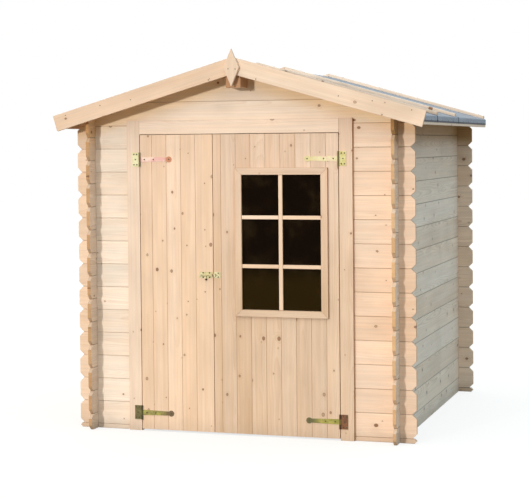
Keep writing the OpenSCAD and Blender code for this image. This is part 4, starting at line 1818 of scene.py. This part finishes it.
@dataclass
class Studio:
    """Pale floor, soft light and the camera at the viewing angle."""

    eye: tuple[float, float, float] = (2.744909, -8.206237 + FRONT, 1.670171)
    yaw: float = math.radians(17.592049)
    pitch: float = math.radians(-1.375121)
    roll: float = math.radians(-0.506073)
    lens: float = 103.0155
    shift_y: float = -0.1304
    sensor: float = 36.0
    sight: float = 200.0
    key_from: Point = (math.radians(-20.5), math.radians(7.0))
    key_strength: float = 1.58
    key_softness: float = math.radians(4)
    key_colour: tuple[float, float, float] = (0.95, 0.97, 0.985)
    fill: float = 1.53
    low_share: float = 0.05
    rise_limits: Point = (0.06, 0.55)
    warm_tint: Colour = (1.09, 1.0, 0.89, 1.0)
    cool_tint: Colour = (0.66, 0.95, 1.2, 1.0)
    cool_side: tuple[float, float, float] = (0.85, 0.5, 0.0)
    tint_limits: Point = (-0.7, 0.7)
    floor_albedo: Colour = (0.24, 0.225, 0.2, 1.0)
    floor_size: float = 60.0
    floor_glow: float = 0.76

    def build(self) -> None:
        """Builds the camera, the light and the floor."""
        self._camera()
        self._key_light()
        self._surroundings()
        self._floor()

    def _camera(self) -> None:
        """Stands the camera up and makes it the scene's own."""
        flat = math.cos(self.pitch)
        ahead = Vector((-math.sin(self.yaw) * flat, math.cos(self.yaw) * flat, math.sin(self.pitch)))
        level = Vector((math.cos(self.yaw), math.sin(self.yaw), 0))
        up = level.cross(ahead)
        right = level * math.cos(self.roll) + up * math.sin(self.roll)
        upward = up * math.cos(self.roll) - level * math.sin(self.roll)
        data = bpy.data.cameras.new("camera")
        data.sensor_width = self.sensor
        data.lens = self.lens
        data.shift_y = self.shift_y
        data.clip_end = self.sight
        camera = linked("camera", data)
        turn = Matrix((right, upward, -ahead)).transposed().to_4x4()
        camera.matrix_world = Matrix.Translation(Vector(self.eye)) @ turn
        bpy.context.scene.camera = camera

    def _key_light(self) -> None:
        """Hangs the far lamp that shines on the front."""
        data = bpy.data.lights.new("key", "SUN")
        data.energy = self.key_strength
        data.angle = self.key_softness
        data.color = self.key_colour
        azimuth, height = self.key_from
        flat = math.cos(height)
        source = Vector((math.sin(azimuth) * flat, -math.cos(azimuth) * flat, math.sin(height)))
        lamp = linked("key", data)
        lamp.rotation_mode = "QUATERNION"
        lamp.rotation_quaternion = (-source).to_track_quat("-Z", "Y")

    def _surroundings(self) -> None:
        """Sets the soft light all round, which looks white."""
        world = bpy.data.worlds.new("soft_surroundings")
        world.use_nodes = True
        bpy.context.scene.world = world
        net = Net(world.node_tree)
        world.node_tree.nodes.clear()
        path = net.node("ShaderNodeLightPath").outputs
        mirrored_ray = net.math("MAXIMUM", path["Is Glossy Ray"], path["Is Transmission Ray"])
        seen = net.math("MAXIMUM", path["Is Camera Ray"], mirrored_ray)
        soft = net.node("ShaderNodeBackground")
        ahead = net.node("ShaderNodeTexCoord").outputs["Generated"]
        turned = net.ramp(net.vector("DOT_PRODUCT", ahead, self.cool_side), *self.tint_limits)
        net.put(soft.inputs["Color"], net.mix(turned, self.warm_tint, self.cool_tint))
        raised = net.ramp(net.split(ahead)[2], *self.rise_limits, self.low_share, 1.0)
        net.put(soft.inputs["Strength"], net.times(raised, self.fill))
        white = net.node("ShaderNodeBackground")
        white.inputs["Color"].default_value = (1.0, 1.0, 1.0, 1.0)
        either = net.node("ShaderNodeMixShader")
        net.fill(either.inputs, (seen, soft.outputs[0], white.outputs[0]))
        net.put(net.node("ShaderNodeOutputWorld").inputs["Surface"], either.outputs[0])

    def _floor(self) -> None:
        """Lays the pale floor, which keeps the shadow."""
        half = self.floor_size / 2
        corners = [(x, y, 0) for x, y in rectangle(-half, half, -half, half)]
        mesh = bpy.data.meshes.new("floor")
        mesh.from_pydata(corners, [], [(0, 1, 2, 3)])
        floor = linked("floor", mesh)
        made = bpy.data.materials.new("pale_floor")
        made.use_nodes = True
        net = Net(made.node_tree)
        made.node_tree.nodes.clear()
        path = net.node("ShaderNodeLightPath").outputs
        matt = net.node("ShaderNodeBsdfDiffuse")
        matt.inputs["Color"].default_value = self.floor_albedo
        glow = net.node("ShaderNodeEmission")
        seen = net.math("MAXIMUM", path["Is Camera Ray"], path["Is Glossy Ray"])
        net.put(glow.inputs["Strength"], net.times(seen, self.floor_glow))
        both = net.node("ShaderNodeAddShader")
        net.fill(both.inputs, (matt.outputs[0], glow.outputs[0]))
        net.put(net.node("ShaderNodeOutputMaterial").inputs["Surface"], both.outputs[0])
        mesh.materials.append(made)


def wood_finishes(effects: SharedEffects) -> dict[str, Material]:
    """Builds the finishes of the wood.

    Args:
        effects: the shared node groups.

    Returns:
        The materials, by short name.
    """
    # The side and back walls carry a strong painted shade tint under the roof's edge.
    shaded = WoodFinish("right_wall_spruce", pale="#f6e3ce", warm="#e6c8a8", late="#bb936f", ring_depth=0.5,
                        knot_share=0.5, joint="#7d5f44", joint_depth=0.75, greying=0.35, end_tint="#f0d6b2",
                        shelter=1.0, shelter_start=1.89, shelter_tint=(0.62, 0.52, 0.34, 1.0))
    # Shaded copy of the door wood: painted shade, darker and browner, for the right leaf, its casing and the
    # window casing, with painted light towards the top.
    painted_shade_wood = WoodFinish("tanned_spruce", pale="#e7ccb0", warm="#d6ae88", late="#c49872", knot_share=0.62,
                        knot_radius=0.0075, splash=0.2, joint="#b08358", joint_depth=0.7, joint_reach=0.002,
                        fade=1.0)
    finishes = {
        # Painted shade on the tips past the corners and under the roof's edge.
        "wall": WoodFinish("wall_spruce", knot_share=0.38, joint_depth=0.6, ends=0.5, shelter=1.0),
        # Lit copy of the wall wood: painted light, paler, for the left front wall and the front gable.
        "painted_light_wall": WoodFinish("sunny_wall_spruce", pale="#fbebd8", warm="#f6dabd", knot_share=0.38,
                            joint_depth=0.4, ends=1.0, shelter=1.0),
        "shaded": shaded,
        # The darker end tint of the left wall's board ends is partly end grain and partly painted shade.
        "left_side": replace(shaded, name="left_wall_spruce", end_tint="#d8bb98",
                             shelter_tint=(1.0, 0.88, 0.68, 1.0)),
        # The door wood gets some painted light towards the top.
        "door": WoodFinish("door_spruce", pale="#f8ddc2", warm="#edc49d", knot_share=0.78, knot_radius=0.0072,
                           splash=0.2, joint="#c0936a", joint_depth=0.7, joint_reach=0.002, fade=0.35),
        "painted_shade_wood": painted_shade_wood,
        "trim": WoodFinish("trim_spruce", pale="#f1d8bf", warm="#e7c19e", joint_depth=0.15, greying=0.6),
        "casing": WoodFinish("casing_spruce", pale="#f9e4cf", warm="#f1d0b2", joint_depth=0.15),
        "roof": WoodFinish("roof_spruce", pale="#eed2ae", warm="#dfb78d", splash=0.0, greying=0.0,
                           end_tint="#c9b394"),
        "beam": WoodFinish("beam_spruce", splash=0.0, end_tint="#cdb092"),
        "batten": WoodFinish("batten_spruce", pale="#f3e3d0", warm="#e6ccb0", grey="#d8d0c6", joint_depth=0.1,
                             greying=0.6, splash=0.0),
    }
    return {key: finish.material(effects) for key, finish in finishes.items()}


def zinc_finishes(effects: SharedEffects) -> dict[str, Material]:
    """Builds the finishes of the metal.

    Args:
        effects: the shared node groups.

    Returns:
        The materials, by the name of the plate or strap.
    """
    left, right = {"start": PIN_X["left"]}, {"start": PIN_X["right"]}
    span = (0.1, 0.17)
    finishes = {
        # The dark colours are painted shade at the pins, partly darker worn metal.
        "left_top_plate": ZincFinish("zinc_left_top_plate", "#eae2b4", "#ddd29c", "#a89c62", 0.5, **left),
        "left_top_strap": ZincFinish("zinc_left_top_strap", "#f2d3be", "#e9b3a6", "#c08e72", 0.35, **left,
                                     tip="#c9855e", tip_span=(0.15, 0.17)),
        "right_top_plate": ZincFinish("zinc_right_top_plate", "#e2d696", "#d6c780", "#94864c", 0.5, **right),
        "right_top_strap": ZincFinish("zinc_right_top_strap", "#eaddaa", "#ecd0b0", "#b3a468", 0.4, **right,
                                      tip="#ddcd94", tip_span=span),
        "left_low_plate": ZincFinish("zinc_left_low_plate", "#7d7440", "#665c30", "#3c351c", 0.9, **left,
                                     dark="#2e2814"),
        "left_low_strap": ZincFinish("zinc_left_low_strap", "#aca34c", "#8f8444", "#63552e", 0.8, **left,
                                     dark="#4a4222", tip="#6e5636", tip_span=span),
        "right_low_plate": ZincFinish("zinc_right_low_plate", "#7c4a24", "#5f3618", "#b98c62", 0.7, **right,
                                      dark="#3a2210"),
        "right_low_strap": ZincFinish("zinc_right_low_strap", "#b0a24e", "#96913c", "#6d5f30", 0.8, **right,
                                      dark="#6a5a2c", tip="#625c34", tip_span=span),
        "bolt": ZincFinish("zinc_bolt", "#e0d4a8", "#cfc08c", "#7d6d40", 0.8, axis=2, start=BOLT_Z,
                           pin_shade_reach=0.0, tip="#2e1c0e", tip_span=(0.0195, 0.022)),
        "screw": ZincFinish("screw_zinc", "#6a5e3a", "#52472a", "#2e2614", 0.9),
        "nail": ZincFinish("nail_steel", "#6e6358", "#55493e", "#3c2e22", 0.9),
    }
    return {key: finish.material(effects) for key, finish in finishes.items()}


def main() -> None:
    """Builds the scene in order."""
    logging.basicConfig(level=logging.INFO, format="%(name)s %(message)s")
    bpy.context.scene.view_settings.view_transform = "Standard"
    effects = SharedEffects()
    house = House()
    wood = wood_finishes(effects)
    zinc = zinc_finishes(effects)
    walls = {"front_wall_left": wood["painted_light_wall"], "front_gable": wood["painted_light_wall"], "left_wall": wood["left_side"],
             "right_wall": wood["shaded"], "back_wall": wood["shaded"], "back_gable": wood["shaded"]}

    Studio().build()
    WallBoards(house, wood["wall"], walls).build()
    RoofTimber(house, wood["beam"], wood["roof"], wood["batten"], wood["trim"]).build()
    RoofFelt(house, FeltFinish().material(effects)).build()
    GableTrim(house, wood["trim"]).build()
    Doorway(house, wood["casing"], wood["painted_shade_wood"]).build()
    DoorLeaves(wood["door"], wood["painted_shade_wood"], wood["roof"]).build()
    Window(wood["painted_shade_wood"], wood["door"], GlassFinish().material()).build()
    Hardware(house, zinc, zinc["screw"], zinc["nail"]).build()

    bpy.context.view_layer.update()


if __name__ == "__main__":
    main()
